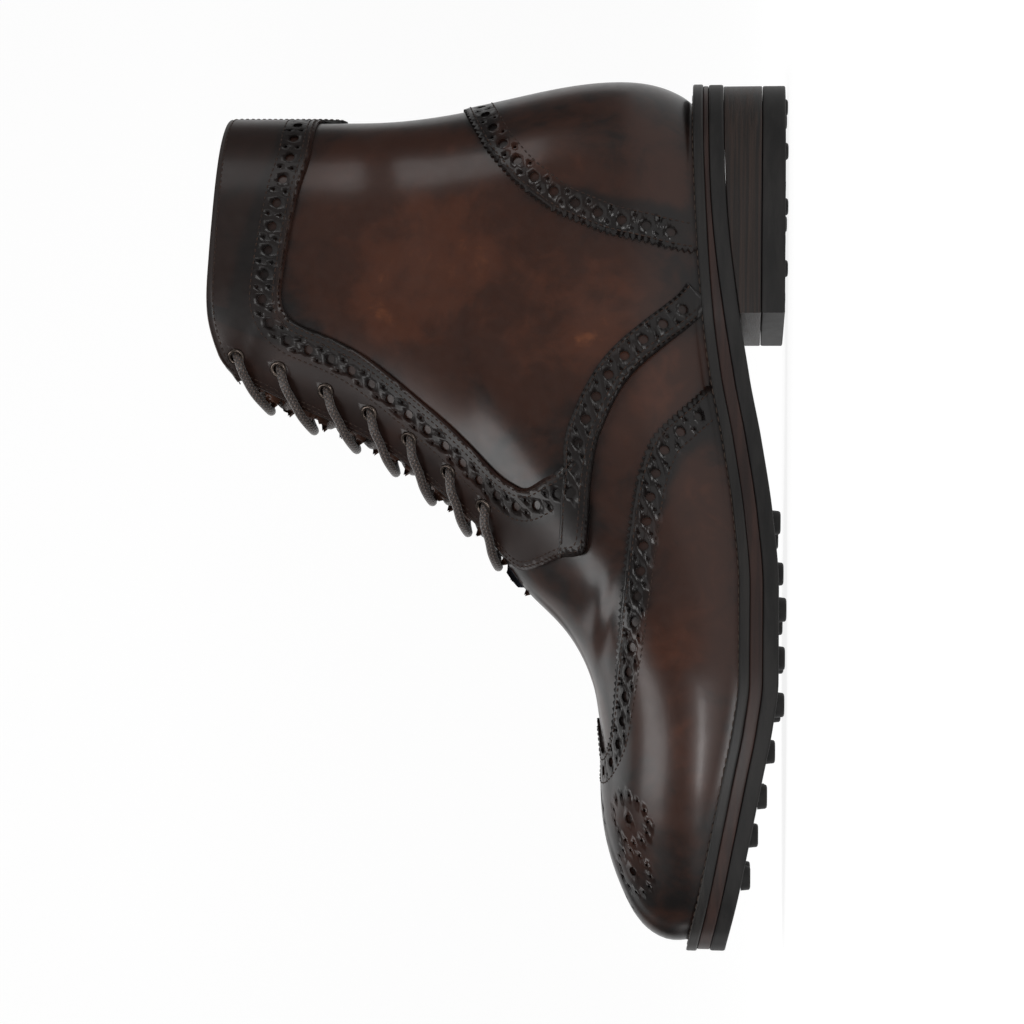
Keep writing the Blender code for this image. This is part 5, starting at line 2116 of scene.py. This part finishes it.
def welt_stitches():
    """The welt's own seam on its top face, in a row all round the shoe."""
    line = np.array(sole_outline(0.0, 1201))
    feather = np.array(inner_outline(0.0, 1201))
    at = feather + (line - feather) * 0.58
    points, faces = [], []
    run = np.concatenate([[0], np.cumsum(np.linalg.norm(np.diff(at, axis=0), axis=1))])
    pitch, radius = 0.0032, 0.00034
    places = np.arange(0, run[-1], pitch)
    spots = np.column_stack([np.interp(places, run, at[:, k]) for k in (0, 1)])
    for a, b in zip(spots[:-1], spots[1:]):
        way2 = (b - a) / np.linalg.norm(b - a)
        middle = (a + b) / 2
        z = float(welt_top(middle[1])) + 0.00005
        slope = float(welt_top(middle[1] + 0.001) - welt_top(middle[1] - 0.001)) / 0.002
        way = unit(np.array([way2[0], way2[1], way2[1] * slope]))
        side = unit(np.cross(way, [0, 0, 1.0]))
        up = np.cross(side, way)
        add_stitch(
            points, faces, np.array([middle[0], middle[1], z]), (way, side, up), pitch * 0.8, radius, 0.5
        )
    sewn_piece("welt_stitches", points, faces, WELT_THREAD)


welt_stitches()

for item in frame["nodes"]["insole"].material_slots:
    item.material = INSOLE

# Floor, light and camera


def stage_surface():
    """Pale paper that glows a little, so that it stays light in the picture."""
    made, _, shader = new_material("pale floor")
    shader.inputs["Base Color"].default_value = (0.16, 0.16, 0.16, 1)
    shader.inputs["Emission Color"].default_value = (1, 1, 1, 1)
    shader.inputs["Emission Strength"].default_value = 0.86
    shader.inputs["Roughness"].default_value = 0.9
    shader.inputs["Specular IOR Level"].default_value = 0.1
    return made


def sweep_backdrop():
    """Floor that curves up into a wall behind the boot, on its lateral side."""
    reach, turn_at, radius, high = 3.0, -0.9, 0.6, 2.4
    section = [(reach, 0.0), (turn_at, 0.0)]
    for angle in np.linspace(0, math.pi / 2, 16)[1:]:
        section.append((turn_at - radius * math.sin(angle), radius * (1 - math.cos(angle))))
    section.append((turn_at - radius, high))
    points = []
    for y in (-3.0, 3.0):
        points += [(x, y, z) for x, z in section]
    count = len(section)
    faces = [(k, k + 1, count + k + 1, count + k) for k in range(count - 1)]
    mesh = bpy.data.meshes.new("backdrop")
    mesh.from_pydata(points, [], faces)
    mesh.shade_smooth()
    mesh.materials.append(stage_surface())
    made = bpy.data.objects.new("backdrop", mesh)
    bpy.context.scene.collection.objects.link(made)
    made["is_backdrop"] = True


sweep_backdrop()


def area_light(name, place, target, size, power, tall=None):
    """A soft box that points at a target."""
    data = bpy.data.lights.new(name, "AREA")
    data.energy = power
    data.shape = "RECTANGLE"
    data.size = size
    data.size_y = tall or size
    made = bpy.data.objects.new(name, data)
    made.location = place
    made.rotation_euler = (Vector(target) - Vector(place)).to_track_quat("-Z", "Y").to_euler()
    bpy.context.scene.collection.objects.link(made)
    return made


area_light("key", (0.9, -0.5, 1.3), (0, 0, 0.08), 0.7, 11)
area_light("fill", (1.0, 0.9, 0.7), (0, 0, 0.08), 0.6, 4)
area_light("top", (-0.4, 0.0, 1.6), (0, 0, 0.05), 1.0, 7)
area_light("low", (0.9, -0.35, 0.06), (0, -0.05, 0.03), 0.5, 3, 0.10)

studio = bpy.data.worlds.new("studio")
studio.use_nodes = True
studio.node_tree.nodes["Background"].inputs["Color"].default_value = (1, 1, 1, 1)
studio.node_tree.nodes["Background"].inputs["Strength"].default_value = 0.16
bpy.context.scene.world = studio
bpy.context.scene.view_settings.view_transform = "Standard"


def set_camera():
    """Level with the sole on the inner side, rolled so that the toe points down in the picture."""
    data = bpy.data.cameras.new("camera")
    data.sensor_width = 36
    data.lens = 84
    data.clip_end = 20
    made = bpy.data.objects.new("camera", data)
    bpy.context.scene.collection.objects.link(made)
    eye = Vector(world(np.array([[0.844, 0.246, 0.0145]]))[0])
    target = Vector((0.0, 0.0, 0.098))
    look = (target - eye).normalized()
    down = Vector((0.0, -1.0, 0.0))
    down = (down - look * down.dot(look)).normalized()
    roll = math.radians(-1.0)
    side = look.cross(-down)
    up = (-down) * math.cos(roll) + side * math.sin(roll)
    right = look.cross(up)
    back = -look
    turn = Matrix((right, up, back)).transposed().to_4x4()
    made.matrix_world = Matrix.Translation(eye) @ turn
    bpy.context.scene.camera = made


set_camera()

bpy.context.view_layer.update()
[[list(map(float, corner)) for corner in box] for box in (cad_box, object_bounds())]
